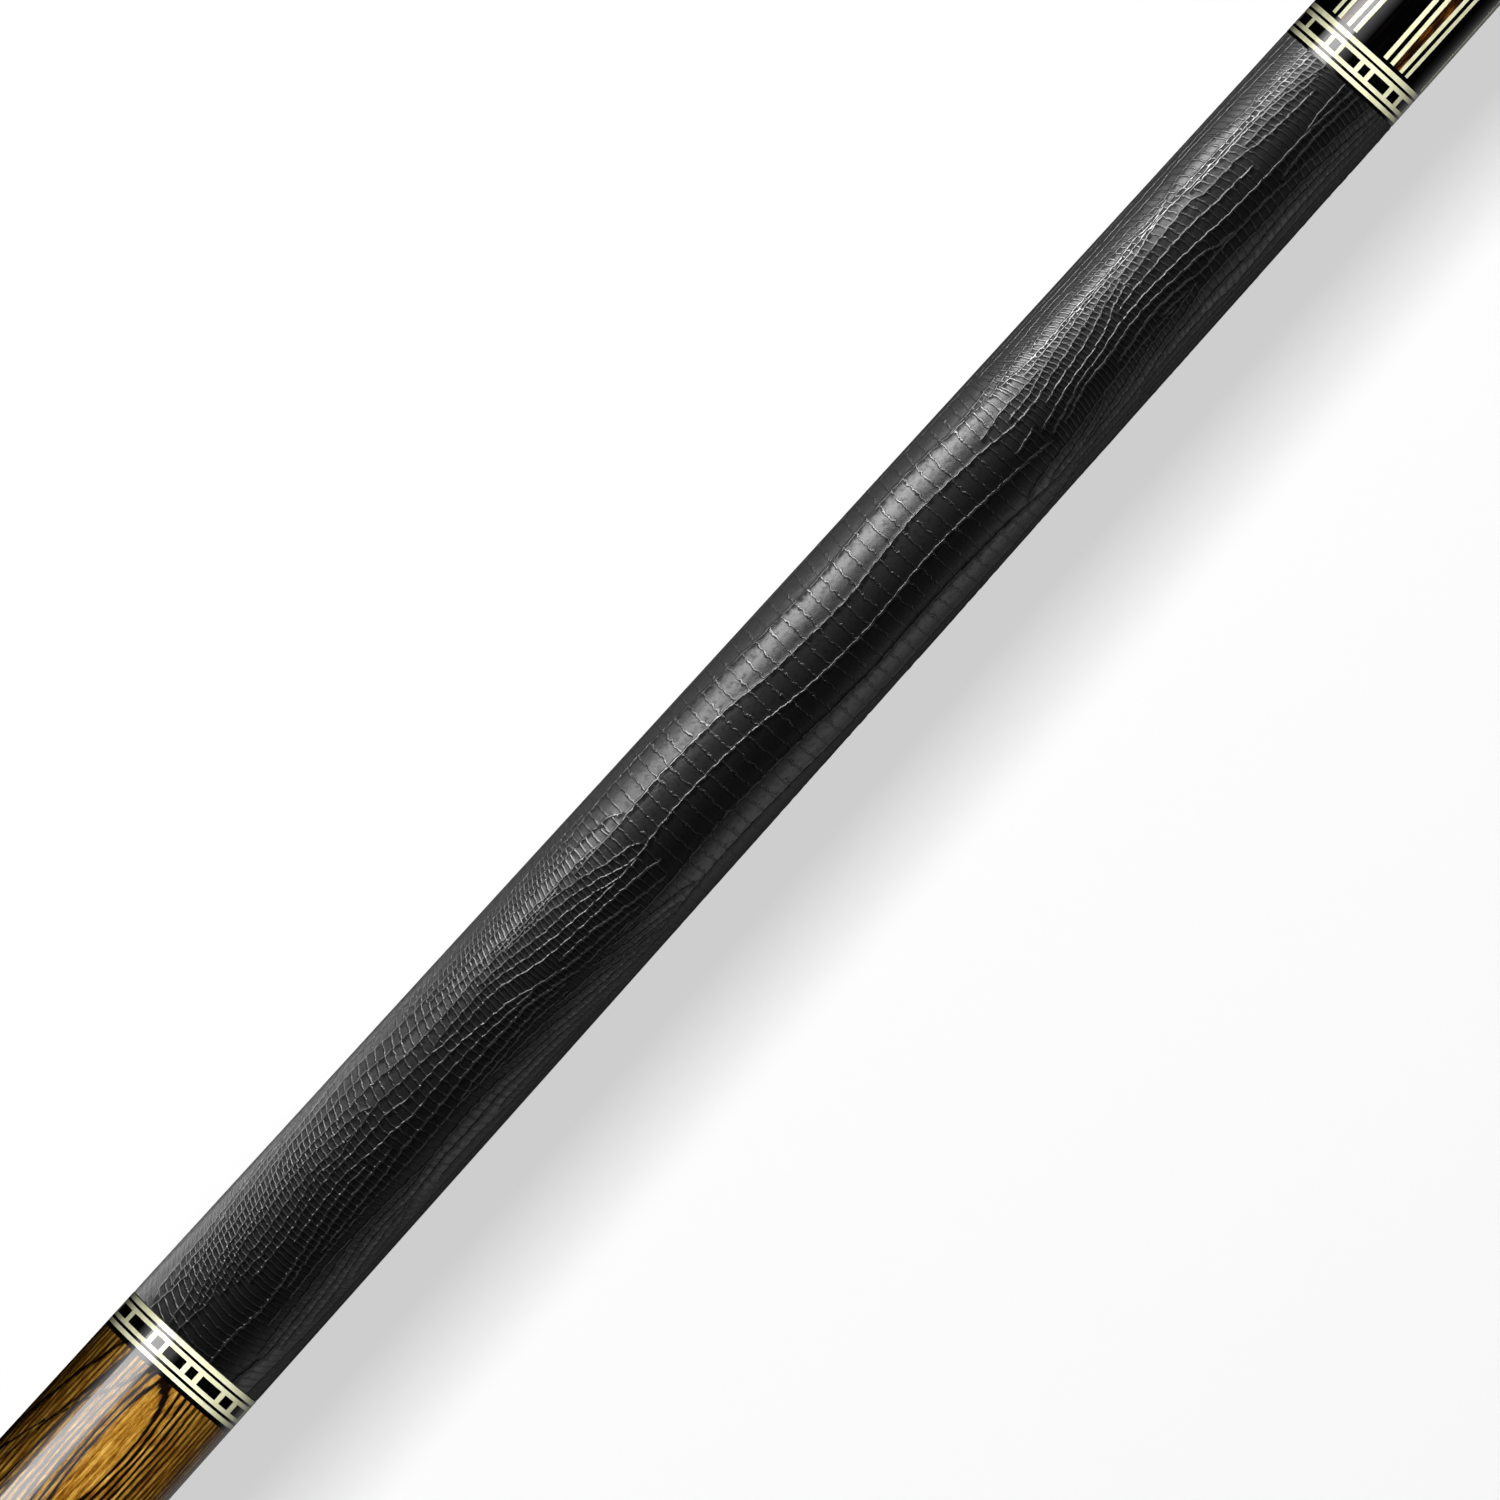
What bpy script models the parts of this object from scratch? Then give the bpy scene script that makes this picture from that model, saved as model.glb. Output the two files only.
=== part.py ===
"""A two-piece pool cue, taken down to the pieces that its maker turns, cuts and glues.

It lies on its side: the axis runs along X with the tip towards +X, +Z is up, and the
origin is under the middle of the cue, on the surface that it lies on. Stations are
distances along the axis from the face of the rubber bumper. Stations and radii are in
millimetres, and turned() and the cutters change them to metres.
"""

import bpy
import bmesh
from math import asin, cos, pi, radians, sin, sqrt
from mathutils import Matrix

MM = 0.001
SIDES = 24                  # flats round a turned piece; one of them lies on the floor
GLUE = 0.05                 # glue line between pieces that stay together
RUNNING = 0.1               # room round pieces that slide or turn on one another

# The whole cue: 58 inches, two halves of 29 inches
CUE_LENGTH = 1473.2
JOINT_FACE = CUE_LENGTH / 2
BUTT_END_RADIUS = 15.66
BUTT_TAPER = 0.006638       # radius lost for each millimetre towards the joint

# Stations of the butt
CAP_START = 10.0
CAP_LENGTH = 25.0
SLEEVE_END = 136.9
WRAP_START = 144.6
WRAP_LENGTH = 304.8         # 12 inches of leather
WRAP_END = WRAP_START + WRAP_LENGTH
JOINT_COLLAR_LENGTH = 20.0

# Ring stack, from the butt end up: name, width, and whether it is cream or black
STACK = [
    ("cream_1", 0.86, "cream"),
    ("black_1", 0.55, "black"),
    ("toothed", 0.82, "cream"),
    ("blocks", 2.03, "black"),
    ("cream_2", 0.84, "cream"),
    ("black_2", 0.51, "black"),
    ("cream_3", 0.99, "cream"),
]
PLAIN_STACK = [("cream_1", 0.86, "cream"), ("black_1", 0.55, "black"), ("cream_2", 0.86, "cream")]
LOWER_END_RING = 0.92
UPPER_END_RING = 0.64
BARS = 20                   # cream teeth between the black blocks
BAR_WIDTH = 1.16
LONG_BLOCK = 19.5           # degrees
SHORT_BLOCK = 7.5
BLOCK_TURN = -5.5           # the first long block stands this far round from the top
TOOTH_DEPTH = 1.9

# Wood joints inside the butt
TENON_RADIUS = 9.5
A_TENON_RADIUS = 8.0
A_TENON_END = 482.0
LEATHER = 1.1
STUD_RADIUS = 3.97
STUD_LENGTH = 76.2
BOLT_RADIUS = 6.3
BOLT_START = 30.0
BOLT_LENGTH = 57.0
BOLT_SOCKET = 6.35          # across the flats of the hexagon
BOLT_BORE_END = 96.0
BUMPER_STEM_END = 24.0
BUMPER_STEM_RADIUS = 5.7
BUMPER_RADIUS = 13.0

# Inlaid points of the forearm
POINTS = 6
POINT_GAP = 0.8             # black wood left between the ring and the points
POINT_LENGTH = 190.0
POINT_WIDEST = 70.0         # from the base of the point
POINT_BASE_HALF = 3.36
POINT_HALF = 4.17
POINT_DEPTH = 2.2
VENEER = 2.58               # cream, black and cream veneers glued into one band

# Screw joint between the halves: 3/8-10 pin
PIN_RADIUS = 4.7625
PIN_PITCH = 2.54
PIN_TURNS = 12.5
PIN_EXPOSED = PIN_PITCH * PIN_TURNS
PIN_START = 702.0
INSERT_RADIUS = 6.35
INSERT_LENGTH = 25.4
JOINT_TENON_RADIUS = 8.0
SHAFT_TENON_RADIUS = 8.6

# Shaft
SHAFT_COLLAR_LENGTH = 20.0
SHAFT_RADIUS_AT_TIP = 6.4
PRO_TAPER_START = 1143.0    # from here to the tip the shaft keeps its radius
FERRULE_LENGTH = 25.4
FERRULE_TENON_RADIUS = 4.0
FERRULE_TENON_LENGTH = 19.0
PAD_THICKNESS = 0.8
TIP_HEIGHT = 6.2
TIP_DOME_RADIUS = 10.6      # radius of a nickel


def butt_radius(station):
    """Outer radius of the butt, one straight taper from end to end."""
    return BUTT_END_RADIUS - BUTT_TAPER * station


AXIS_HEIGHT = butt_radius(CAP_START) * cos(pi / SIDES)


def shaft_radius(station):
    """Outer radius of the shaft: a quick taper from the joint, then the straight pro taper."""
    joint_radius = butt_radius(JOINT_FACE)
    run = max(0.0, (PRO_TAPER_START - station) / (PRO_TAPER_START - JOINT_FACE))
    return SHAFT_RADIUS_AT_TIP + (joint_radius - SHAFT_RADIUS_AT_TIP) * run ** 1.4


# ---------------------------------------------------------------- tools

def clear_scene():
    for old in list(bpy.data.objects):
        bpy.data.objects.remove(old, do_unlink=True)


def new_collection(name):
    collection = bpy.data.collections.new(name)
    bpy.context.scene.collection.children.link(collection)
    return collection


def finish(name, colour, roughness, metallic=0.0):
    """A Principled material in one colour."""
    material = bpy.data.materials.new(name)
    material.use_nodes = True
    shader = material.node_tree.nodes["Principled BSDF"]
    shader.inputs["Base Color"].default_value = (*colour, 1.0)
    shader.inputs["Roughness"].default_value = roughness
    shader.inputs["Metallic"].default_value = metallic
    material.diffuse_color = (*colour, 1.0)
    return material


def new_axis(name, station):
    """An empty on the cue's axis, with its own Z along the cue and a flat side down."""
    axis = bpy.data.objects.new(name, None)
    turn = Matrix.Rotation(pi / 2, 4, "Y") @ Matrix.Rotation(pi / SIDES, 4, "Z")
    place = Matrix.Translation(((station - CUE_LENGTH / 2) * MM, 0.0, AXIS_HEIGHT * MM))
    axis.matrix_world = place @ turn
    axis["station"] = station
    MODEL.objects.link(axis)
    return axis


def add_object(name, mesh, axis, station, collection):
    """An object whose origin is on the cue's axis at its own first station."""
    piece = bpy.data.objects.new(name, mesh)
    piece.parent = axis
    piece.location = (0.0, 0.0, (station - axis["station"]) * MM)
    collection.objects.link(piece)
    return piece


def turned(name, outline, material, axis, collection=None):
    """A lathe piece. The outline is a list of (station, radius) round its half section.

    When both ends of the outline lie on the axis the piece is solid there; otherwise the
    outline closes on itself and the piece is a ring.
    """
    first = outline[0][0]
    solid = outline[0][1] == 0 and outline[-1][1] == 0
    area = sum(r0 * z1 - r1 * z0 for (z0, r0), (z1, r1) in zip(outline, outline[1:] + outline[:1]))
    path = list(reversed(outline)) if area > 0 else outline
    edges = [(i, i + 1) for i in range(len(path) - 1)]
    if not solid:
        edges.append((len(path) - 1, 0))
    mesh = bpy.data.meshes.new(name)
    mesh.from_pydata([(r * MM, 0.0, (z - first) * MM) for z, r in path], edges, [])
    mesh.materials.append(material)
    piece = add_object(name, mesh, axis, first, collection or MODEL)
    screw = piece.modifiers.new("turn", "SCREW")
    screw.axis = "Z"
    screw.steps = screw.render_steps = SIDES
    screw.use_merge_vertices = True
    screw.merge_threshold = 1e-6
    screw.use_smooth_shade = True
    return piece


def as_cutter(piece):
    piece.hide_render = True
    piece.display_type = "WIRE"
    return piece


def boolean(piece, cutter, operation="DIFFERENCE"):
    cut = piece.modifiers.new(operation.lower(), "BOOLEAN")
    cut.operation = operation
    cut.solver = "EXACT"
    cut.object = cutter


def settle(piece):
    """Put the result of the modifiers into the piece's own mesh."""
    graph = bpy.context.evaluated_depsgraph_get()
    mesh = bpy.data.meshes.new_from_object(piece.evaluated_get(graph))
    piece.modifiers.clear()
    piece.data = mesh
    return mesh


def smooth(piece, angle=30.0):
    piece.data.shade_smooth()
    piece.data.set_sharp_from_angle(angle=radians(angle))


def ring_section(start, end, bore, radius=butt_radius):
    return [(start, bore), (start, radius(start)), (end, radius(end)), (end, bore)]


def box_cutter(name, boxes, axis, station):
    """One cutter made of boxes, each given as its size and its matrix, in millimetres."""
    mesh = bpy.data.meshes.new(name)
    bm = bmesh.new()
    for size, place in boxes:
        scale = Matrix.Diagonal((*size, 1.0))
        bmesh.ops.create_cube(bm, size=1.0, matrix=Matrix.Scale(MM, 4) @ place @ scale)
    bm.to_mesh(mesh)
    bm.free()
    return as_cutter(add_object(name, mesh, axis, station, CUTTERS))


# ---------------------------------------------------------------- ring sets

def bar_angles():
    """Middle of each bar, in degrees: one on each side of every long block."""
    period = 720.0 / BARS
    bar = (period - LONG_BLOCK - SHORT_BLOCK) / 2
    half_gap = (LONG_BLOCK + bar) / 2
    for block in range(BARS // 2):
        middle = BLOCK_TURN + block * period
        yield middle - half_gap
        yield middle + half_gap


def bar_boxes(width, floor, start, end):
    """Boxes along the bars, from the floor radius out past the surface."""
    reach = 6.0
    for angle in bar_angles():
        # the axis empty is turned half a flat, and its X points down
        around = Matrix.Rotation(radians(180.0 + angle) - pi / SIDES, 4, "Z")
        middle = Matrix.Translation((floor + reach / 2, 0.0, (end - start) / 2))
        yield (reach, width, end - start), around @ middle


def toothed_pair(prefix, axis, tooth_start, block_start, block_end, bore):
    """The black block ring, slotted all round, and the cream ring whose teeth fill the slots."""
    tooth_floor = butt_radius(block_start) - TOOTH_DEPTH
    spigot = tooth_floor - GLUE
    blocks = turned(prefix + "_blocks", [
        (tooth_start, bore), (tooth_start, spigot), (block_start, spigot),
        (block_start, butt_radius(block_start)), (block_end, butt_radius(block_end)),
        (block_end, bore)], BLACK, axis)
    over = 1.0
    slots = box_cutter(
        prefix + "_slots",
        bar_boxes(BAR_WIDTH + 2 * GLUE, spigot - 0.15, tooth_start - over, block_end + over),
        axis, tooth_start - over)
    boolean(blocks, slots)

    toothed = turned(
        prefix + "_toothed", ring_section(tooth_start, block_end, tooth_floor), CREAM, axis)
    root = block_start - GLUE
    crown = as_cutter(turned(
        prefix + "_crown",
        [(root, tooth_floor - 1), (root, BUTT_END_RADIUS + 1),
         (block_end + over, BUTT_END_RADIUS + 1), (block_end + over, tooth_floor - 1)],
        BLACK, axis, collection=CUTTERS))
    bars = box_cutter(
        prefix + "_bars",
        bar_boxes(BAR_WIDTH, tooth_floor - 2, root - over, block_end + 2 * over),
        axis, root - over)
    boolean(crown, bars)
    boolean(toothed, crown)
    for piece in (blocks, toothed):
        settle(piece)
        smooth(piece)


def ring_stack(prefix, stack, start, bore, axis, radius=butt_radius):
    """A stack of rings glued face to face on a tenon. Returns the station where it ends."""
    colours = {"cream": CREAM, "black": BLACK}
    places = {}
    for name, width, colour in stack:
        end = start + width
        places[name] = (start, end - GLUE)
        if name not in ("toothed", "blocks"):
            section = ring_section(*places[name], bore, radius)
            smooth(turned(f"{prefix}_{name}", section, colours[colour], axis))
        start = end
    if "blocks" in places:
        toothed_pair(prefix, axis, places["toothed"][0], *places["blocks"], bore)
    return start


def stack_width(stack):
    return sum(width for _, width, _ in stack)


# ---------------------------------------------------------------- butt

def make_bumper():
    """Rubber bumper, pushed into the butt by its ribbed stem."""
    ribs = []
    for rib in (13.0, 17.0, 21.0):
        ribs += [(rib - 0.8, BUMPER_STEM_RADIUS - 0.4), (rib, BUMPER_STEM_RADIUS),
                 (rib + 0.8, BUMPER_STEM_RADIUS - 0.4)]
    head = CAP_START - RUNNING
    edge = 1.6
    rounding = [
        (edge - edge * cos(a), BUMPER_RADIUS - 0.9 - edge + edge * sin(a))
        for a in (0.0, pi / 6, pi / 3, pi / 2)]
    outline = [(0.0, 0.0), *rounding, (head, BUMPER_RADIUS), (head, BUMPER_STEM_RADIUS - 0.4),
               *ribs, (BUMPER_STEM_END, BUMPER_STEM_RADIUS - 0.4), (BUMPER_STEM_END, 0.0)]
    axis = new_axis("bumper_axis", 0.0)
    smooth(turned("bumper", outline, RUBBER, axis), 40.0)


def make_butt_cap(axis):
    """Black cap that closes the handle, with a hole for the bumper's stem."""
    end = CAP_START + CAP_LENGTH
    floor = CAP_START + 4.0
    hole = BUMPER_STEM_RADIUS + RUNNING + 0.3
    edge = 1.8
    outer = butt_radius(CAP_START)
    rounding = [
        (CAP_START + edge - edge * cos(a), outer - edge + edge * sin(a))
        for a in (0.0, pi / 8, pi / 4, 3 * pi / 8, pi / 2)]
    outline = [(CAP_START, hole), *rounding, (end - GLUE, butt_radius(end)),
               (end - GLUE, TENON_RADIUS + GLUE), (floor, TENON_RADIUS + GLUE), (floor, hole)]
    smooth(turned("butt_cap", outline, BLACK, axis), 40.0)
    return end


def make_handle(axis):
    """Maple core of the butt: a long tenon for cap, sleeve and rings, and the grip."""
    start = CAP_START + 4.0 + GLUE
    bore = BOLT_RADIUS + RUNNING + GLUE
    grip_start = WRAP_START + GLUE
    grip_end = WRAP_END - GLUE
    under = LEATHER + GLUE
    stud_floor = A_TENON_END - STUD_LENGTH / 2 - 1.0
    stud_bore = STUD_RADIUS + GLUE
    outline = [
        (BOLT_BORE_END, 0.0), (BOLT_BORE_END, bore), (start, bore), (start, TENON_RADIUS),
        (grip_start, TENON_RADIUS), (grip_start, butt_radius(grip_start) - under),
        (grip_end, butt_radius(grip_end) - under), (grip_end, A_TENON_RADIUS),
        (A_TENON_END, A_TENON_RADIUS), (A_TENON_END, stud_bore), (stud_floor, stud_bore),
        (stud_floor, 0.0)]
    smooth(turned("handle_core", outline, MAPLE, axis))


def make_weight_bolt(axis):
    """Steel bolt that sets the weight, with a hexagon socket facing the bumper."""
    end = BOLT_START + BOLT_LENGTH
    chamfer = 0.8
    outline = [
        (BOLT_START, 0.0), (BOLT_START, BOLT_RADIUS - chamfer),
        (BOLT_START + chamfer, BOLT_RADIUS), (end - chamfer, BOLT_RADIUS),
        (end, BOLT_RADIUS - chamfer), (end, 0.0)]
    bolt = turned("weight_bolt", outline, STEEL, axis)
    mesh = bpy.data.meshes.new("socket_cutter")
    bm = bmesh.new()
    radius = BOLT_SOCKET / sqrt(3.0) * MM
    bmesh.ops.create_cone(
        bm, cap_ends=True, segments=6, radius1=radius, radius2=radius, depth=12.0 * MM)
    bm.to_mesh(mesh)
    bm.free()
    boolean(bolt, as_cutter(add_object("socket_cutter", mesh, axis, BOLT_START, CUTTERS)))
    settle(bolt)
    smooth(bolt)


def make_butt_sleeve(axis, start):
    """Bocote sleeve between the cap's rings and the lower rings."""
    section = ring_section(start, SLEEVE_END - GLUE, TENON_RADIUS + GLUE)
    smooth(turned("butt_sleeve", section, BOCOTE, axis))


def make_wrap(axis):
    """Leather sleeve, flush with the rings at both its ends."""
    core_start = butt_radius(WRAP_START) - LEATHER
    core_end = butt_radius(WRAP_END) - LEATHER
    outline = [(WRAP_START, core_start), (WRAP_START, butt_radius(WRAP_START)),
               (WRAP_END, butt_radius(WRAP_END)), (WRAP_END, core_end)]
    smooth(turned("leather_wrap", outline, LEATHER_BLACK, axis))


def make_a_joint_stud(axis):
    """Steel stud that holds the handle and the forearm together."""
    start = A_TENON_END - STUD_LENGTH / 2
    end = A_TENON_END + STUD_LENGTH / 2
    outline = [(start, 0.0), (start, STUD_RADIUS), (end, STUD_RADIUS), (end, 0.0)]
    smooth(turned("a_joint_stud", outline, STEEL, axis))


def point_half_width(run):
    """Half width of an inlaid point, at a distance from its base."""
    if run <= POINT_WIDEST:
        swell = sin(pi / 2 * run / POINT_WIDEST)
        return POINT_BASE_HALF + (POINT_HALF - POINT_BASE_HALF) * swell
    taper = (run - POINT_WIDEST) / (POINT_LENGTH - POINT_WIDEST)
    return POINT_HALF * cos(pi / 2 * min(taper, 1.0))


def point_prism(name, inset, below, sink, axis, base):
    """A prism with a point's outline, drawn in by inset, its floor sunk under the surface.

    The first side runs `below` millimetres past the base of the point.
    """
    tip = POINT_WIDEST + (POINT_LENGTH - POINT_WIDEST) * 2 / pi * (pi / 2 - asin(
        min(1.0, max(inset, 0.0) / POINT_HALF)))
    runs = [0.0, POINT_WIDEST / 2, POINT_WIDEST]
    steps = 5
    runs += [POINT_WIDEST + (tip - POINT_WIDEST) * i / steps for i in range(1, steps)]
    side = [(-below, point_half_width(0.0) - inset)]
    side += [(run, point_half_width(run) - inset) for run in runs[1:]]
    outline = side + [(tip - min(inset, 0.0) * 4, 0.0)] + [(run, -half) for run, half in reversed(side)]
    top = 4.0
    bm = bmesh.new()
    corners = [
        bm.verts.new(((butt_radius(base + run) - sink) * MM, half * MM, run * MM))
        for run, half in outline]
    floor = bm.faces.new(corners)
    raised = bmesh.ops.extrude_face_region(bm, geom=[floor])["geom"]
    lift = [item for item in raised if isinstance(item, bmesh.types.BMVert)]
    bmesh.ops.translate(bm, verts=lift, vec=((sink + top) * MM, 0.0, 0.0))
    bmesh.ops.recalc_face_normals(bm, faces=bm.faces)
    mesh = bpy.data.meshes.new(name)
    bm.to_mesh(mesh)
    bm.free()
    return as_cutter(add_object(name, mesh, axis, base, CUTTERS))


def make_forearm(axis, start):
    """Black forearm with six points let into it, each a bocote core in a veneer band."""
    end = JOINT_FACE - JOINT_COLLAR_LENGTH - stack_width(PLAIN_STACK)
    stud_floor = A_TENON_END + STUD_LENGTH / 2 + 1.0
    stud_bore = STUD_RADIUS + GLUE
    socket = A_TENON_RADIUS + GLUE
    pin_bore = PIN_RADIUS + GLUE
    outline = [
        (stud_floor, 0.0), (stud_floor, stud_bore), (A_TENON_END + 1.0, stud_bore),
        (A_TENON_END + 1.0, socket), (start, socket), (start, butt_radius(start)),
        (end - GLUE, butt_radius(end)), (end - GLUE, JOINT_TENON_RADIUS),
        (JOINT_FACE - 1.0, JOINT_TENON_RADIUS), (JOINT_FACE - 1.0, pin_bore),
        (PIN_START - 1.0, pin_bore), (PIN_START - 1.0, 0.0)]
    forearm = turned("forearm", outline, EBONY, axis)
    base = start + POINT_GAP
    pitch = 2 * pi / POINTS
    first = pi + pitch / 2 - pi / SIDES
    turns = [first + pitch * i for i in range(POINTS)]

    for turn in turns:
        pocket = point_prism("pocket", -GLUE, GLUE, POINT_DEPTH + GLUE, axis, base)
        pocket.rotation_euler = (0.0, 0.0, turn)
        boolean(forearm, pocket)
    settle(forearm)
    smooth(forearm)

    skin = [(base - 5.0, 0.0), (base - 5.0, butt_radius(base - 5.0)),
            (base + POINT_LENGTH + 5.0, butt_radius(base + POINT_LENGTH + 5.0)),
            (base + POINT_LENGTH + 5.0, 0.0)]
    whole = point_prism("point_outline", 0.0, 0.0, POINT_DEPTH, axis, base)
    inner = point_prism("point_core_outline", VENEER, 0.0, POINT_DEPTH, axis, base)
    hollow = point_prism("point_core_room", VENEER - GLUE, 3.0, POINT_DEPTH + 1.0, axis, base)
    for cutter in (whole, inner, hollow):
        cutter.rotation_euler = (0.0, 0.0, turns[0])
    veneer = turned("point_veneer_1", skin, VENEER_CREAM, axis)
    boolean(veneer, whole, "INTERSECT")
    boolean(veneer, hollow)
    core = turned("point_core_1", skin, BOCOTE, axis)
    boolean(core, inner, "INTERSECT")
    for first_piece in (veneer, core):
        mesh = settle(first_piece)
        smooth(first_piece)
        for i in range(1, POINTS):
            copy = add_object(
                f"{first_piece.name[:-1]}{i + 1}", mesh, axis, base - 5.0, MODEL)
            copy.rotation_euler = (0.0, 0.0, turns[i] - turns[0])
    return end


def make_joint_collar(axis):
    """Black collar at the top of the butt."""
    section = ring_section(
        JOINT_FACE - JOINT_COLLAR_LENGTH, JOINT_FACE - GLUE, JOINT_TENON_RADIUS + GLUE)
    smooth(turned("joint_collar", section, BLACK, axis))


def make_joint_pin(axis):
    """Steel pin glued into the butt; the shaft screws onto its free end."""
    end = JOINT_FACE + PIN_EXPOSED
    nose = 1.5
    outline = [
        (PIN_START, 0.0), (PIN_START, PIN_RADIUS), (end - nose, PIN_RADIUS),
        (end, PIN_RADIUS - nose), (end, 0.0)]
    smooth(turned("joint_pin", outline, STEEL, axis))


# ---------------------------------------------------------------- shaft

def make_shaft_insert():
    """Threaded brass insert in the end of the shaft, where the pin goes in."""
    start = JOINT_FACE + 1.0
    axis = new_axis("insert_axis", start)
    bore = (PIN_RADIUS + GLUE) / cos(pi / SIDES)
    outline = [(start, bore), (start, INSERT_RADIUS), (start + INSERT_LENGTH, INSERT_RADIUS),
               (start + INSERT_LENGTH, bore)]
    smooth(turned("shaft_insert", outline, BRASS, axis))


def make_shaft(axis, start, end):
    """Maple shaft: a bored tenon in the collar, the long taper, and the ferrule's tenon."""
    mouth = JOINT_FACE + 1.0
    bore = (INSERT_RADIUS + GLUE) / cos(pi / SIDES)
    bore_end = mouth + INSERT_LENGTH + RUNNING
    pin_bore = PIN_RADIUS + 0.2
    pin_end = JOINT_FACE + PIN_EXPOSED + 2.0
    steps = 12
    stations = [start + (PRO_TAPER_START - start) * i / steps for i in range(steps + 1)]
    body = [(x, shaft_radius(x)) for x in stations] + [(end - GLUE, SHAFT_RADIUS_AT_TIP)]
    tenon = end + FERRULE_TENON_LENGTH
    outline = [
        (pin_end, 0.0), (pin_end, pin_bore), (bore_end, pin_bore), (bore_end, bore),
        (mouth, bore), (mouth, SHAFT_TENON_RADIUS), (start, SHAFT_TENON_RADIUS), *body,
        (end - GLUE, FERRULE_TENON_RADIUS), (tenon, FERRULE_TENON_RADIUS), (tenon, 0.0)]
    smooth(turned("shaft", outline, MAPLE, axis))


def make_shaft_collar(axis):
    end = JOINT_FACE + SHAFT_COLLAR_LENGTH
    section = ring_section(
        JOINT_FACE + GLUE, end - GLUE, SHAFT_TENON_RADIUS + GLUE, shaft_radius)
    smooth(turned("shaft_collar", section, BLACK, axis))
    return end


def make_ferrule(axis, start):
    """White ferrule, closed at its end, on the shaft's tenon."""
    end = start + FERRULE_LENGTH
    floor = start + FERRULE_TENON_LENGTH + 0.5
    bore = FERRULE_TENON_RADIUS + GLUE
    outline = [
        (floor, 0.0), (floor, bore), (start, bore), (start, SHAFT_RADIUS_AT_TIP),
        (end - GLUE, SHAFT_RADIUS_AT_TIP), (end - GLUE, 0.0)]
    smooth(turned("ferrule", outline, FERRULE_WHITE, axis))
    return end


def make_tip(axis, start):
    """Fibre pad and domed leather tip."""
    pad_end = start + PAD_THICKNESS
    pad = [(start, 0.0), (start, SHAFT_RADIUS_AT_TIP), (pad_end - GLUE, SHAFT_RADIUS_AT_TIP),
           (pad_end - GLUE, 0.0)]
    smooth(turned("tip_pad", pad, FIBRE, axis))
    rise = TIP_DOME_RADIUS - sqrt(TIP_DOME_RADIUS ** 2 - SHAFT_RADIUS_AT_TIP ** 2)
    shoulder = pad_end + TIP_HEIGHT - rise
    steps = 5
    dome = []
    for i in range(steps, 0, -1):
        radius = SHAFT_RADIUS_AT_TIP * i / steps
        height = sqrt(TIP_DOME_RADIUS ** 2 - radius ** 2) - (TIP_DOME_RADIUS - rise)
        dome.append((shoulder + height, radius))
    outline = [(pad_end, 0.0), (pad_end, SHAFT_RADIUS_AT_TIP), *dome,
               (pad_end + TIP_HEIGHT, 0.0)]
    smooth(turned("leather_tip", outline, LEATHER_TIP, axis))


# ---------------------------------------------------------------- the cue

clear_scene()
MODEL = new_collection("pool_cue")
CUTTERS = new_collection("cutters")

RUBBER = finish("rubber", (0.02, 0.02, 0.02), 0.8)
BLACK = finish("black_phenolic", (0.006, 0.006, 0.006), 0.12)
CREAM = finish("cream_ring", (0.86, 0.83, 0.60), 0.15)
VENEER_CREAM = finish("veneer", (0.80, 0.76, 0.50), 0.18)
BOCOTE = finish("bocote", (0.42, 0.22, 0.06), 0.15)
EBONY = finish("ebony", (0.008, 0.007, 0.006), 0.12)
MAPLE = finish("maple", (0.78, 0.60, 0.38), 0.35)
LEATHER_BLACK = finish("lizard_leather", (0.012, 0.012, 0.012), 0.35)
LEATHER_TIP = finish("tip_leather", (0.20, 0.12, 0.07), 0.85)
FIBRE = finish("red_fibre", (0.25, 0.03, 0.02), 0.6)
FERRULE_WHITE = finish("ferrule_white", (0.88, 0.86, 0.78), 0.3)
STEEL = finish("stainless_steel", (0.60, 0.60, 0.60), 0.3, 1.0)
BRASS = finish("brass", (0.80, 0.58, 0.25), 0.3, 1.0)

butt = new_axis("butt_axis", 0.0)
tenon_bore = TENON_RADIUS + GLUE
make_bumper()
cap_end = make_butt_cap(butt)
make_weight_bolt(butt)
make_handle(butt)
sleeve_start = ring_stack("cap_ring", PLAIN_STACK, cap_end, tenon_bore, butt)
make_butt_sleeve(butt, sleeve_start)
lower_stack = [("black_0", LOWER_END_RING, "black")] + STACK
ring_stack("lower_ring", lower_stack, SLEEVE_END, tenon_bore, butt)
make_wrap(butt)
upper_stack = [("black_0", UPPER_END_RING, "black")] + STACK
forearm_start = ring_stack("upper_ring", upper_stack, WRAP_END + GLUE, A_TENON_RADIUS + GLUE, butt)
make_a_joint_stud(butt)
forearm_end = make_forearm(butt, forearm_start)
ring_stack("joint_ring", PLAIN_STACK, forearm_end, JOINT_TENON_RADIUS + GLUE, butt)
make_joint_collar(butt)
make_joint_pin(butt)

shaft_axis = new_axis("shaft_axis", JOINT_FACE)
ferrule_start = CUE_LENGTH - TIP_HEIGHT - PAD_THICKNESS - FERRULE_LENGTH
make_shaft_insert()
collar_end = make_shaft_collar(shaft_axis)
shaft_start = ring_stack(
    "shaft_ring", PLAIN_STACK, collar_end, SHAFT_TENON_RADIUS + GLUE, shaft_axis, shaft_radius)
make_shaft(shaft_axis, shaft_start, ferrule_start)
pad_start = make_ferrule(shaft_axis, ferrule_start)
make_tip(shaft_axis, pad_start)
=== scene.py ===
"""A two-piece pool cue, lying on a pale floor: its finishes, and the pieces that carry them."""

import bpy
import numpy as np
from math import cos, pi, radians, sin, sqrt
from mathutils import Matrix, Vector


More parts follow.
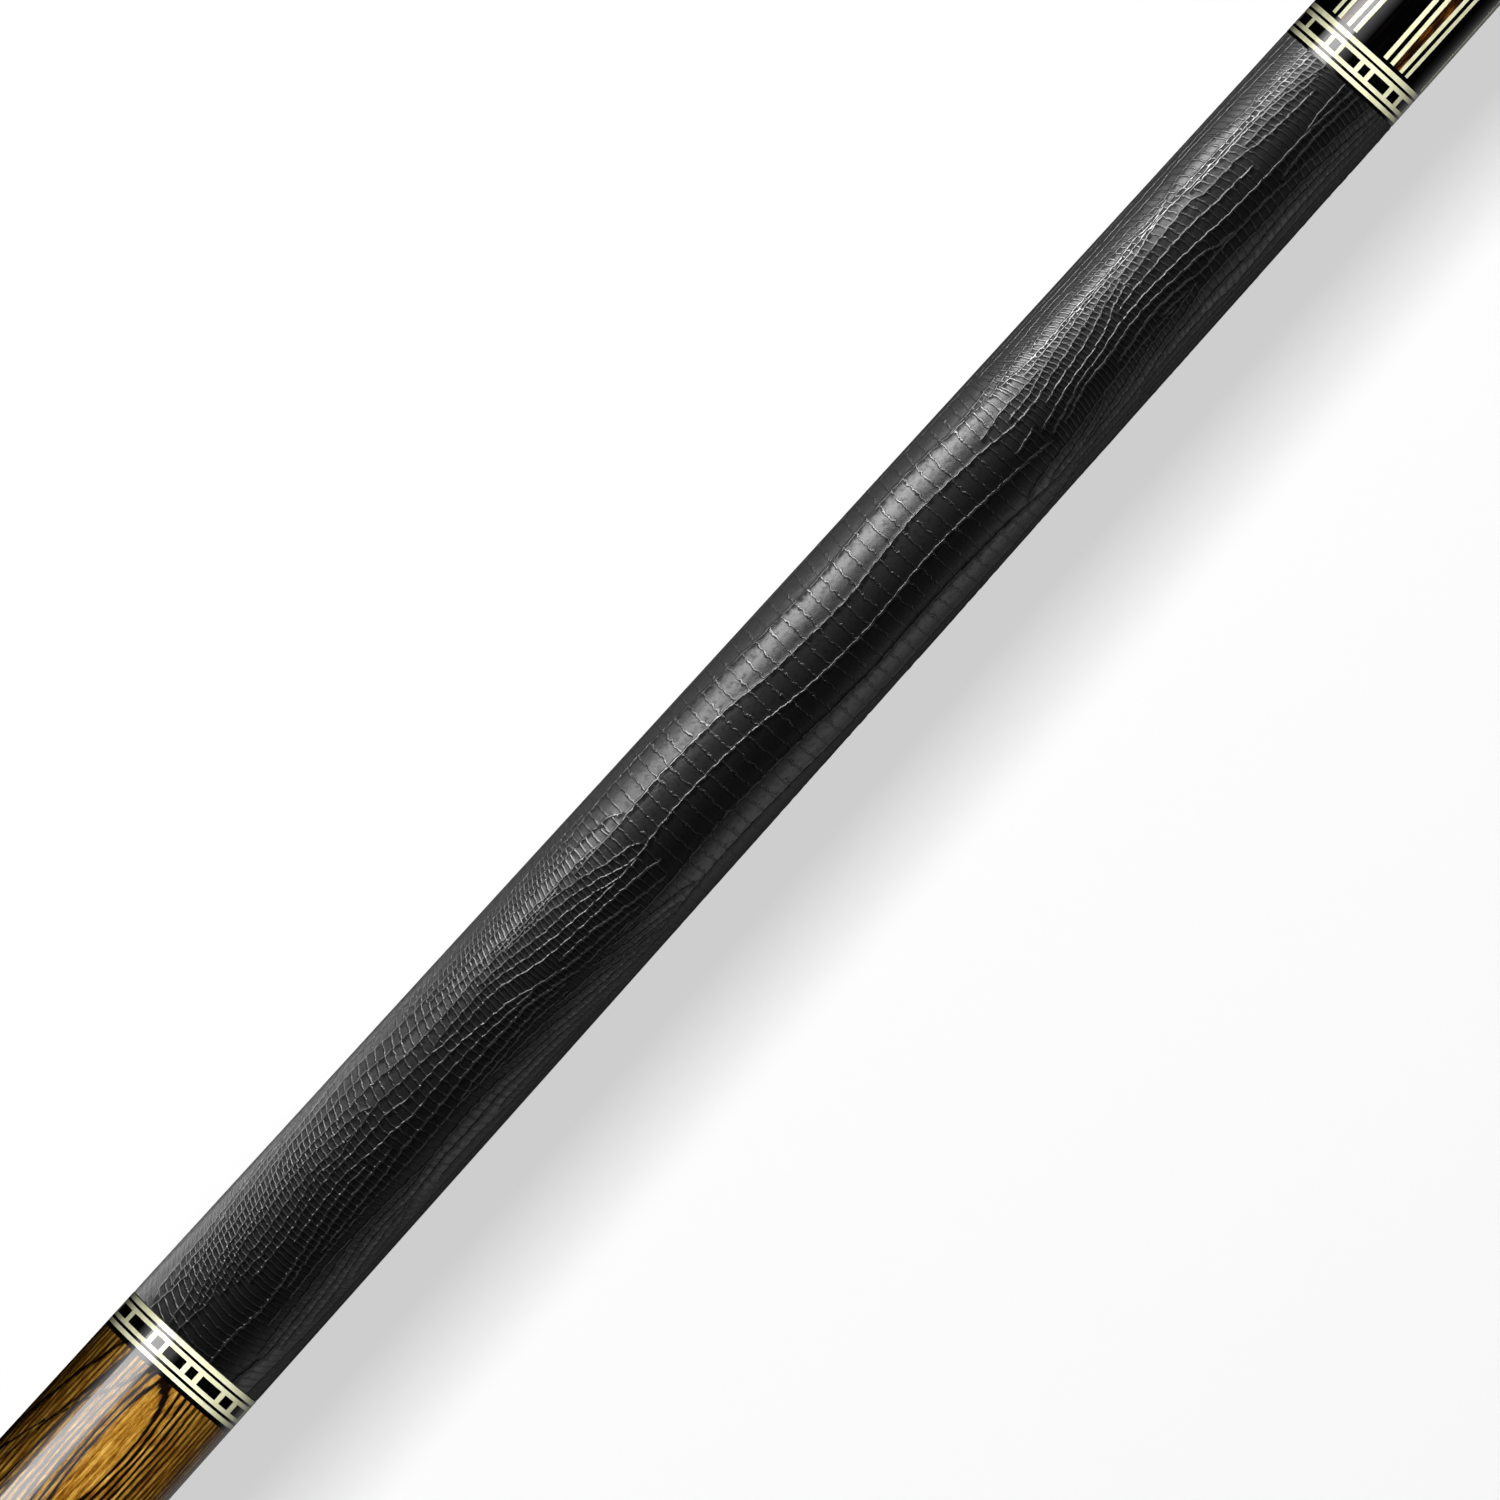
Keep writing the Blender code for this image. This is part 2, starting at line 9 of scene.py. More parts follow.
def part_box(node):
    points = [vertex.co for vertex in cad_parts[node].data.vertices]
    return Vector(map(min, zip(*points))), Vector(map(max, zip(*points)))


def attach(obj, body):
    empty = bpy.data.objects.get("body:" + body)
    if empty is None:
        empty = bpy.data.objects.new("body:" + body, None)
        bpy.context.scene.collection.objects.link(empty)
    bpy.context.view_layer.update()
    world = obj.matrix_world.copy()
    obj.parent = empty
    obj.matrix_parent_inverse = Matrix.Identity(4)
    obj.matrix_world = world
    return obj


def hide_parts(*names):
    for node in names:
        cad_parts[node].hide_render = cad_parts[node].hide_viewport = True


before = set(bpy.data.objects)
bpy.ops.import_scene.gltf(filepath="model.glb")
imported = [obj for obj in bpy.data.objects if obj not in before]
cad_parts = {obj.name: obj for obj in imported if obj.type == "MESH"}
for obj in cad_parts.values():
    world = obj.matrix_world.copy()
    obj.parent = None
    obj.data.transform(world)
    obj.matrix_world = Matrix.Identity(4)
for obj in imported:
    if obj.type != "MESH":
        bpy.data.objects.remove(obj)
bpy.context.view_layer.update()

MM = 0.001
CUE_LENGTH = 1473.2
JOINT_FACE = CUE_LENGTH / 2
AXIS = (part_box("leather_wrap")[0][2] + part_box("leather_wrap")[1][2]) / 2
ROUND = 240                 # sides of a turned piece; 1.5 degrees each

BUTT_END_RADIUS = 15.66
BUTT_TAPER = 0.006638


def butt_radius(station):
    return BUTT_END_RADIUS - BUTT_TAPER * station


def shaft_radius(station):
    joint = butt_radius(JOINT_FACE)
    run = max(0.0, (1143.0 - station) / (1143.0 - JOINT_FACE))
    return 6.4 + (joint - 6.4) * run ** 1.4


def along(station):
    """Place on X of a station, which is a distance in millimetres from the bumper's face."""
    return (station - JOINT_FACE) * MM


# ---------------------------------------------------------------- pieces

def deselect():
    if bpy.context.object and bpy.context.object.mode != "OBJECT":
        bpy.ops.object.mode_set(mode="OBJECT")
    bpy.ops.object.select_all(action="DESELECT")


def turned(name, outline, sides=ROUND):
    """A lathe piece: a circle extruded and resized from station to station."""
    deselect()
    station, radius = outline[0]
    bpy.ops.mesh.primitive_circle_add(
        vertices=sides, radius=max(radius, 1e-3) * MM, location=(along(station), 0, AXIS),
        rotation=(0, pi / 2, 0))
    piece = bpy.context.object
    piece.name = name
    bpy.ops.object.transform_apply(location=True, rotation=True, scale=True)
    bpy.ops.object.mode_set(mode="EDIT")
    bpy.ops.mesh.select_all(action="SELECT")
    for next_station, next_radius in outline[1:]:
        bpy.ops.mesh.extrude_edges_move(
            TRANSFORM_OT_translate={"value": ((next_station - station) * MM, 0, 0)})
        scale = max(next_radius, 1e-3) / max(radius, 1e-3)
        bpy.ops.transform.resize(
            value=(1, scale, scale), center_override=(along(next_station), 0, AXIS))
        station, radius = next_station, next_radius
    bpy.ops.mesh.select_all(action="SELECT")
    bpy.ops.mesh.remove_doubles(threshold=3e-6)
    bpy.ops.mesh.normals_make_consistent(inside=False)
    bpy.ops.object.mode_set(mode="OBJECT")
    bpy.ops.object.shade_smooth_by_angle(angle=radians(35))
    return piece


def ring(name, start, end, bore, radius=butt_radius, steps=1):
    """A tube from station to station, with its outside on the cue's taper."""
    stations = [start + (end - start) * k / steps for k in range(steps + 1)]
    outline = [(start, bore), *[(s, radius(s)) for s in stations], (end, bore), (start, bore)]
    return turned(name, outline)


def fit(piece, material, nodes, body="butt"):
    """Gives a piece its material and the body that it rides on, and hides the CAD nodes that it stands for."""
    wear(piece, material)
    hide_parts(*nodes.split())
    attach(piece, body)


# ---------------------------------------------------------------- finishes

def colour(code):
    """An sRGB hex colour as linear RGBA."""
    parts = [int(code[i:i + 2], 16) / 255 for i in (1, 3, 5)]
    return (*[p / 12.92 if p <= 0.04045 else ((p + 0.055) / 1.055) ** 2.4 for p in parts], 1.0)


def add(material, kind, settings=None, **links):
    """Adds a node, with its settings and what is linked or set on its inputs. An input goes by its
    name, with _ for a space, or by i and its number."""
    node = material.node_tree.nodes.new(kind)
    for key, value in (settings or {}).items():
        if key == "stops":
            ramp = node.color_ramp
            while len(ramp.elements) < len(value):
                ramp.elements.new(0.5)
            for element, (place, shade) in zip(ramp.elements, value):
                element.position = place
                element.color = (shade, shade, shade, 1) if isinstance(shade, (int, float)) else shade
        else:
            setattr(node, key, value)
    for key, value in links.items():
        numbered = key[0] == "i" and key[1:].isdigit()
        socket = node.inputs[int(key[1:]) if numbered else key.replace("_", " ")]
        if isinstance(value, bpy.types.NodeSocket):
            material.node_tree.links.new(value, socket)
        else:
            socket.default_value = value
    return node


def maths(material, operation, *values):
    """Adds a Math node, and gives its result."""
    links = {f"i{number}": value for number, value in enumerate(values)}
    return add(material, "ShaderNodeMath", {"operation": operation}, **links).outputs[0]


def new_material(name):
    material = bpy.data.materials.new(name)
    material.use_nodes = True
    material.node_tree.nodes.clear()
    return material


def finish_with(material, **settings):
    """The Principled shader of a material, and its output."""
    shader = add(material, "ShaderNodeBsdfPrincipled", **settings)
    add(material, "ShaderNodeOutputMaterial", Surface=shader.outputs[0])
    return material


def wear(piece, material):
    piece.data.materials.clear()
    piece.data.materials.append(material)


def cue_place(material):
    """Where a point is on the cue: its station in millimetres, its angle from the top towards -Y in
    radians, and how far it is towards -Y and above the axis in metres."""
    spot = add(material, "ShaderNodeTexCoord")
    split = add(material, "ShaderNodeSeparateXYZ", Vector=spot.outputs["Object"])
    station = maths(material, "MULTIPLY_ADD", split.outputs[0], 1 / MM, JOINT_FACE)
    left = maths(material, "MULTIPLY", split.outputs[1], -1.0)
    high = maths(material, "SUBTRACT", split.outputs[2], AXIS)
    angle = maths(material, "ARCTAN2", left, high)
    return station, angle, left, high


# all the shine of these comes from the lacquer over them
CLEAR_COAT = {"Specular_IOR_Level": 0.0, "Coat_Weight": 1.0, "Coat_Roughness": 0.005, "Coat_IOR": 1.5}

# Cast polymer, turned and polished under clear coat: bone cream, faintly cloudy, very even.
cream = new_material("cast cream polymer")
spot = add(cream, "ShaderNodeTexCoord")
cloud = add(cream, "ShaderNodeTexNoise", Vector=spot.outputs["Object"], Scale=900.0, Detail=3.0)
tone = add(cream, "ShaderNodeValToRGB", {"stops": [(0.35, colour("#E3E2B6")), (0.5, colour("#E9E9C2")),
                                                  (0.62, colour("#EDEBCB"))]}, Fac=cloud.outputs[0])
finish_with(cream, Base_Color=tone.outputs[0], Roughness=0.4, **CLEAR_COAT)

# Paper phenolic, machined and polished: dense black with a barely visible fibre in it.
black = new_material("polished black phenolic")
spot = add(black, "ShaderNodeTexCoord")
fibre = add(black, "ShaderNodeTexNoise", Vector=spot.outputs["Object"], Scale=700.0, Detail=4.0)
tone = add(black, "ShaderNodeValToRGB", {"stops": [(0.4, colour("#020202")), (0.7, colour("#070707"))]},
           Fac=fibre.outputs[0])
finish_with(black, Base_Color=tone.outputs[0], Roughness=0.4, **CLEAR_COAT)

# Ebony under clear lacquer: black, with dark brown hairs of grain along the cue, about 0.5 mm apart.
ebony = new_material("lacquered ebony")
station, angle, left, high = cue_place(ebony)
strand = add(ebony, "ShaderNodeCombineXYZ", X=station, Y=left, Z=high)
stretched = add(ebony, "ShaderNodeMapping", Vector=strand.outputs[0], Scale=(0.04, 1, 1))
scaled = add(ebony, "ShaderNodeVectorMath", {"operation": "MULTIPLY"}, i0=stretched.outputs[0],
             i1=(1, 1000, 1000))
hairs = add(ebony, "ShaderNodeTexNoise", Vector=scaled.outputs[0], Scale=2.0, Detail=5.0)
tone = add(ebony, "ShaderNodeValToRGB", {"stops": [(0.5, colour("#020202")), (0.75, colour("#0B0706"))]},
           Fac=hairs.outputs[0])
finish_with(ebony, Base_Color=tone.outputs[0], Roughness=0.4, **CLEAR_COAT)

# Bocote under clear lacquer: golden brown with near-black growth rings, which nest into a long eye,
# dark smoky streaks that cross it at a slant, and fine open pores.
bocote = new_material("lacquered bocote")
station, angle, left, high = cue_place(bocote)
EYE_STATION, EYE_ANGLE = 120.5, radians(3.5)
from_eye = maths(bocote, "SUBTRACT", angle, EYE_ANGLE)
half_turn = maths(bocote, "MULTIPLY", from_eye, 0.5)
swing = maths(bocote, "SINE", half_turn)
# 28 is twice the radius, so this is the distance round the surface near the eye
arc = maths(bocote, "MULTIPLY", swing, 28.0)
ahead = maths(bocote, "SUBTRACT", station, EYE_STATION)
y_mm = maths(bocote, "MULTIPLY", left, 1000.0)
z_mm = maths(bocote, "MULTIPLY", high, 1000.0)
grain_x = maths(bocote, "MULTIPLY", station, 0.09)
grain = add(bocote, "ShaderNodeCombineXYZ", X=grain_x, Y=y_mm, Z=z_mm)
wander = add(bocote, "ShaderNodeTexNoise", Vector=grain.outputs[0], Scale=0.33, Detail=3.0)
ripple = add(bocote, "ShaderNodeTexNoise", Vector=grain.outputs[0], Scale=1.6, Detail=5.0, Roughness=0.65)
along_eye = maths(bocote, "DIVIDE", ahead, 13.5)
across_eye = maths(bocote, "DIVIDE", arc, 2.2)
nest = add(bocote, "ShaderNodeCombineXYZ", X=along_eye, Y=across_eye)
ring_size = add(bocote, "ShaderNodeVectorMath", {"operation": "LENGTH"}, i0=nest.outputs[0])
wandered = maths(bocote, "MULTIPLY_ADD", wander.outputs[0], 0.7, ring_size.outputs["Value"])
rippled = maths(bocote, "MULTIPLY_ADD", ripple.outputs[0], 0.34, wandered)
year = maths(bocote, "MULTIPLY_ADD", rippled, 2.1, -0.05)
within = maths(bocote, "FRACT", year)
ring_line = add(bocote, "ShaderNodeValToRGB", {"stops": [
    (0.0, 0.1), (0.25, 0.0), (0.4, 0.4), (0.5, 1.0), (0.84, 1.0), (0.93, 0.4), (1.0, 0.1)]},
    Fac=within)
# no rings inside the eye
open_eye = add(bocote, "ShaderNodeMapRange", Value=rippled, From_Min=1.38, From_Max=1.55)
rings_seen = maths(bocote, "MULTIPLY", ring_line.outputs[0], open_eye.outputs[0])
# far from the eye the rings fade and the smoky streaks take over
fade = add(bocote, "ShaderNodeMapRange", Value=ring_size.outputs["Value"], From_Min=2.6, From_Max=4.6,
           To_Min=1.0, To_Max=0.8)
rings_faded = maths(bocote, "MULTIPLY", rings_seen, fade.outputs[0])
slant = maths(bocote, "MULTIPLY_ADD", station, -0.17, arc)
slow = maths(bocote, "MULTIPLY", station, 0.05)
smoke_at = add(bocote, "ShaderNodeCombineXYZ", X=slow, Y=slant, Z=3.0)
smoke = add(bocote, "ShaderNodeTexNoise", Vector=smoke_at.outputs[0], Scale=0.3, Detail=4.0,
            Roughness=0.6)
smoke_edge = maths(bocote, "MULTIPLY_ADD", ripple.outputs[0], 0.25, smoke.outputs[0])
streak = add(bocote, "ShaderNodeMapRange", Value=smoke_edge, From_Min=0.68, From_Max=0.76)
away = add(bocote, "ShaderNodeMapRange", Value=ring_size.outputs["Value"], From_Min=2.0, From_Max=3.4)
streaks = maths(bocote, "MULTIPLY", streak.outputs[0], away.outputs[0])
darkness = maths(bocote, "MAXIMUM", rings_faded, streaks)
# three long dark streaks on the +Y side, which climb towards the grip
for run_station, run_arc, climb, half in ((108.0, -11.2, 0.07, 0.45), (124.0, -10.1, 0.44, 0.4),
                                          (122.0, -16.5, 0.3, 0.5)):
    run = maths(bocote, "MULTIPLY_ADD", station, climb, run_arc - climb * run_station)
    waved = maths(bocote, "MULTIPLY_ADD", wander.outputs[0], 1.8, run)
    off = maths(bocote, "SUBTRACT", arc, waved)
    apart = maths(bocote, "ABSOLUTE", off)
    frayed = maths(bocote, "MULTIPLY_ADD", ripple.outputs[0], 1.6, apart)
    dark = add(bocote, "ShaderNodeMapRange", Value=frayed, From_Min=0.55 + half,
               From_Max=1.0 + half, To_Min=1.0, To_Max=0.0)
    darkness = maths(bocote, "MAXIMUM", darkness, dark.outputs[0])
ground = add(bocote, "ShaderNodeTexNoise", Vector=grain.outputs[0], Scale=1.5, Detail=8.0,
             Roughness=0.78)
gold = add(bocote, "ShaderNodeValToRGB", {"stops": [
    (0.36, colour("#4A290C")), (0.45, colour("#7C4E16")), (0.53, colour("#A57828")),
    (0.63, colour("#D0A650"))]}, Fac=ground.outputs[0])
# pores: dashes about 0.06 mm wide and 1.5 mm long
pore_x = maths(bocote, "MULTIPLY", station, 0.12)
pore_at = add(bocote, "ShaderNodeCombineXYZ", X=pore_x, Y=y_mm,
              Z=z_mm)
pores = add(bocote, "ShaderNodeTexNoise", Vector=pore_at.outputs[0], Scale=7.0, Detail=2.0)
pore = add(bocote, "ShaderNodeMapRange", Value=pores.outputs[0], From_Min=0.56, From_Max=0.68,
           To_Min=0.0, To_Max=0.65)
pored = add(bocote, "ShaderNodeMix", {"data_type": "RGBA"}, i0=pore.outputs[0], i6=gold.outputs[0],
            i7=colour("#3A2008"))
stained = add(bocote, "ShaderNodeMix", {"data_type": "RGBA"}, i0=darkness,
              i6=pored.outputs[2], i7=colour("#120905"))
finish_with(bocote, Base_Color=stained.outputs[2], Roughness=0.45, **CLEAR_COAT)

# The same wood at the hearts of the points, cut from a darker board.
gold.name = "ground colours"
dark_bocote = bocote.copy()
dark_bocote.name = "dark lacquered bocote"
stops = dark_bocote.node_tree.nodes["ground colours"].color_ramp.elements
for stop, code in zip(stops, ("#180A04", "#2E1607", "#5C300F", "#8E5E1F")):
    stop.color = colour(code)

# Hard maple, sanded and waxed: pale straw, with fine brown flecks of grain along the cue.
maple = new_material("waxed maple")
station, angle, left, high = cue_place(maple)
y_mm = maths(maple, "MULTIPLY", left, 1000.0)
z_mm = maths(maple, "MULTIPLY", high, 1000.0)
slow = maths(maple, "MULTIPLY", station, 0.03)
grain = add(maple, "ShaderNodeCombineXYZ", X=slow, Y=y_mm, Z=z_mm)
bands = add(maple, "ShaderNodeTexWave", {"bands_direction": "Y"}, Vector=grain.outputs[0], Scale=0.16,
            Distortion=3.0, Detail=3.0)
flecks = add(maple, "ShaderNodeTexNoise", Vector=grain.outputs[0], Scale=4.0, Detail=4.0)
both = maths(maple, "MULTIPLY_ADD", bands.outputs[1], 0.35, flecks.outputs[0])
tone = add(maple, "ShaderNodeValToRGB", {"stops": [
    (0.45, colour("#E3CDA0")), (0.75, colour("#D8BC88")), (0.95, colour("#C19F66"))]},
    Fac=both)
finish_with(maple, Base_Color=tone.outputs[0], Roughness=0.38, Coat_Weight=0.3, Coat_Roughness=0.2)

# Polyester ferrule: clean white, satin from the lathe, with the faintest haze.
white = new_material("turned white ferrule")
spot = add(white, "ShaderNodeTexCoord")
haze = add(white, "ShaderNodeTexNoise", Vector=spot.outputs["Object"], Scale=500.0, Detail=3.0)
tone = add(white, "ShaderNodeValToRGB", {"stops": [(0.3, colour("#EDEBE4")), (0.7, colour("#F6F5F0"))]},
           Fac=haze.outputs[0])
finish_with(white, Base_Color=tone.outputs[0], Roughness=0.25)

# Vulcanised fibre: brick red and matt, with short paper fibres.
fibre_red = new_material("red vulcanised fibre")
spot = add(fibre_red, "ShaderNodeTexCoord")
fluff = add(fibre_red, "ShaderNodeTexNoise", Vector=spot.outputs["Object"], Scale=2500.0, Detail=4.0)
tone = add(fibre_red, "ShaderNodeValToRGB", {"stops": [(0.3, colour("#6E1712")), (0.7, colour("#93261C"))]},
           Fac=fluff.outputs[0])
finish_with(fibre_red, Base_Color=tone.outputs[0], Roughness=0.6)

# Pressed layers of pigskin, each about 0.7 mm, scuffed on top: warm grey-brown and dry.
tip_skin = new_material("layered tip leather")
station, angle, left, high = cue_place(tip_skin)
layer = maths(tip_skin, "MULTIPLY", station, 1 / 0.7)
edge = maths(tip_skin, "FRACT", layer)
seam = add(tip_skin, "ShaderNodeMapRange", Value=edge, From_Min=0.82, From_Max=0.95,
           To_Min=0.0, To_Max=0.7)
spot = add(tip_skin, "ShaderNodeTexCoord")
nap = add(tip_skin, "ShaderNodeTexNoise", Vector=spot.outputs["Object"], Scale=1800.0, Detail=6.0)
tone = add(tip_skin, "ShaderNodeValToRGB", {"stops": [(0.3, colour("#3E5A78")), (0.45, colour("#5B4632")),
                                                     (0.7, colour("#7C6146"))]}, Fac=nap.outputs[0])
seamed = add(tip_skin, "ShaderNodeMix", {"data_type": "RGBA"}, i0=seam.outputs[0], i6=tone.outputs[0],
             i7=colour("#2E2116"))
rough = add(tip_skin, "ShaderNodeBump", Strength=0.8, Distance=0.0001, Height=nap.outputs[0])
finish_with(tip_skin, Base_Color=seamed.outputs[2], Roughness=0.9, Normal=rough.outputs[0])


def lined_metal(name, dark, light, smoothest, roughest):
    """A turned or rolled metal with fine lines round it, some brighter and smoother than others."""
    metal = new_material(name)
    station, angle, left, high = cue_place(metal)
    lines_at = maths(metal, "MULTIPLY", station, 9.0)
    lines = add(metal, "ShaderNodeTexNoise", {"noise_dimensions": "1D"}, W=lines_at, Scale=1.0,
                Detail=4.0)
    sheen = add(metal, "ShaderNodeMapRange", Value=lines.outputs[0], To_Min=smoothest, To_Max=roughest)
    tone = add(metal, "ShaderNodeValToRGB", {"stops": [(0.3, colour(dark)), (0.7, colour(light))]},
               Fac=lines.outputs[0])
    return finish_with(metal, Base_Color=tone.outputs[0], Metallic=1.0, Roughness=sheen.outputs[0])


# Stainless steel, thread-rolled: bright grey with fine lines round it.
steel = lined_metal("rolled stainless steel", "#A9A8A5", "#C4C3C0", 0.18, 0.36)

# Turned brass: warm yellow with lathe lines.
brass = lined_metal("turned brass", "#C79A45", "#DDB866", 0.22, 0.4)

# Moulded rubber: dark, dry and dusty, with a fine pebble.
rubber = new_material("moulded bumper rubber")
spot = add(rubber, "ShaderNodeTexCoord")
dust = add(rubber, "ShaderNodeTexNoise", Vector=spot.outputs["Object"], Scale=400.0, Detail=5.0)
tone = add(rubber, "ShaderNodeValToRGB", {"stops": [(0.35, colour("#141414")), (0.75, colour("#2A2928"))]},
           Fac=dust.outputs[0])
pebble = add(rubber, "ShaderNodeTexNoise", Vector=spot.outputs["Object"], Scale=3000.0, Detail=2.0)
grain = add(rubber, "ShaderNodeBump", Strength=0.5, Distance=0.00005, Height=pebble.outputs[0])
finish_with(rubber, Base_Color=tone.outputs[0], Roughness=0.75, Normal=grain.outputs[0])

# Lizard skin, dyed black and glazed: rows of scales behind raised ridges. The ridges and the lit slopes are
# glazed and carry a painted highlight, strongest on the +Y side where the light falls, and the hollow behind
# each ridge stays matt and is darkened as painted shade.
lizard = new_material("glazed black lizard leather")
row_of = add(lizard, "ShaderNodeAttribute", {"attribute_name": "row"})
row = add(lizard, "ShaderNodeSeparateXYZ", Vector=row_of.outputs["Vector"])
scale_of = add(lizard, "ShaderNodeAttribute", {"attribute_name": "scale"})
scale = add(lizard, "ShaderNodeSeparateXYZ", Vector=scale_of.outputs["Vector"])
ridge_of = add(lizard, "ShaderNodeAttribute", {"attribute_name": "ridge"})
ridge = add(lizard, "ShaderNodeSeparateXYZ", Vector=ridge_of.outputs["Vector"])
spot = add(lizard, "ShaderNodeTexCoord")
mottle = add(lizard, "ShaderNodeTexNoise", Vector=spot.outputs["Object"], Scale=900.0, Detail=4.0)
fine = add(lizard, "ShaderNodeTexNoise", Vector=spot.outputs["Object"], Scale=4000.0, Detail=3.0)
wavy = maths(lizard, "MULTIPLY_ADD", mottle.outputs[0], 0.5, scale.outputs[0])
inside = maths(lizard, "FRACT", wavy)
other = maths(lizard, "SUBTRACT", 1.0, inside)
nearest = maths(lizard, "MINIMUM", inside, other)
line_mm = maths(lizard, "MULTIPLY", nearest, scale.outputs[1])
# the net: ridges along the skin 0.5 mm wide, and across it a crease beside a raised lip; the crease is darkened
# as painted shade
at_mm = maths(lizard, "MULTIPLY", inside, scale.outputs[1])
lip = add(lizard, "ShaderNodeMapRange", {"interpolation_type": "SMOOTHERSTEP"}, Value=at_mm,
          From_Min=0.1, From_Max=0.36, To_Min=1.0, To_Max=0.0)
left_mm = maths(lizard, "MULTIPLY", other, scale.outputs[1])
crease_shade = add(lizard, "ShaderNodeMapRange", {"interpolation_type": "SMOOTHERSTEP"},
             Value=left_mm, From_Min=0.08, From_Max=0.4)
crest_above = add(lizard, "ShaderNodeMapRange", {"interpolation_type": "SMOOTHERSTEP"},
                  Value=row.outputs[0], From_Min=0.0, From_Max=0.3, To_Min=1.0, To_Max=0.0)
crest_below = add(lizard, "ShaderNodeMapRange", {"interpolation_type": "SMOOTHERSTEP"},
                  Value=row.outputs[1], From_Min=0.0, From_Max=0.3, To_Min=1.0, To_Max=0.0)
crest_a = maths(lizard, "MULTIPLY", crest_above.outputs[0], ridge.outputs[0])
crest_b = maths(lizard, "MULTIPLY", crest_below.outputs[0], ridge.outputs[1])
crest = maths(lizard, "MAXIMUM", crest_a, crest_b)
# the hollow behind each ridge: matt, and darkened as painted shade, in ragged patches about 1 mm deep
hollow = add(lizard, "ShaderNodeMapRange", {"interpolation_type": "SMOOTHSTEP"}, Value=row.outputs[0],
             From_Min=0.25, From_Max=1.5)
ragged = maths(lizard, "MULTIPLY_ADD", mottle.outputs[0], 2.6, -1.28)
glaze_and_painted_shade = add(lizard, "ShaderNodeMath", {"operation": "ADD", "use_clamp": True}, i0=hollow.outputs[0],
            i1=ragged)
lip_glint = maths(lizard, "MULTIPLY", lip.outputs[0], 0.8)
# painted highlight: the ridges and lips shine in colour and specular tint on top and on the +Y side, where the
# light falls, and fade to painted shade round the -Y side
station, angle, left, high = cue_place(lizard)
painted_lit_side = add(lizard, "ShaderNodeMapRange", Value=angle, From_Min=radians(15), From_Max=radians(42),
              To_Min=1.0, To_Max=0.0)
# polished: the crests' painted highlight on the lit side
polished = maths(lizard, "MULTIPLY", crest, painted_lit_side.outputs[0])
lip_painted_highlight = maths(lizard, "MULTIPLY", lip_glint, painted_lit_side.outputs[0])
net = maths(lizard, "MAXIMUM", polished, lip_painted_highlight)
dull = maths(lizard, "SUBTRACT", 1.0, crest)
# glazed: the flats' shine, with the painted shade of the hollow in it
glazed = maths(lizard, "MULTIPLY", glaze_and_painted_shade.outputs[0], 0.45)
# the crease's painted shade is cut into that shine
cut = maths(lizard, "MULTIPLY", glazed, crease_shade.outputs[0])
shaded_flats = maths(lizard, "MULTIPLY", cut, dull)
shine_and_painted_light = maths(lizard, "MAXIMUM", net, shaded_flats)
roughness = add(lizard, "ShaderNodeMapRange", Value=shine_and_painted_light, To_Min=0.5, To_Max=0.3)
height_a = maths(lizard, "MULTIPLY_ADD", lip.outputs[0], 0.8, crest)
height_b = maths(lizard, "MULTIPLY_ADD", fine.outputs[0], 0.12, height_a)
height_c = maths(lizard, "MULTIPLY_ADD", mottle.outputs[0], 0.35, height_b)
bump = add(lizard, "ShaderNodeBump", Strength=1.0, Distance=0.00011, Height=height_c)
# base colour and specular tint follow the painted highlight and painted shade; roughness follows the real glaze
tone = add(lizard, "ShaderNodeValToRGB", {"stops": [(0.0, colour("#010101")), (0.6, colour("#030303")),
                                                   (1.0, colour("#080808"))]}, Fac=shine_and_painted_light)
painted_highlight_level = add(lizard, "ShaderNodeMapRange", Value=shine_and_painted_light, To_Min=0.04, To_Max=1.0)
tint = add(lizard, "ShaderNodeCombineColor", Red=painted_highlight_level.outputs[0], Green=painted_highlight_level.outputs[0],
           Blue=painted_highlight_level.outputs[0])
finish_with(lizard, Base_Color=tone.outputs[0], Roughness=roughness.outputs[0],
            Specular_Tint=tint.outputs[0], Specular_IOR_Level=0.7, Sheen_Weight=0.04,
            Sheen_Roughness=0.5, Normal=bump.outputs[0])

# ---------------------------------------------------------------- leather

WRAP_START, WRAP_END = 144.6, 449.4

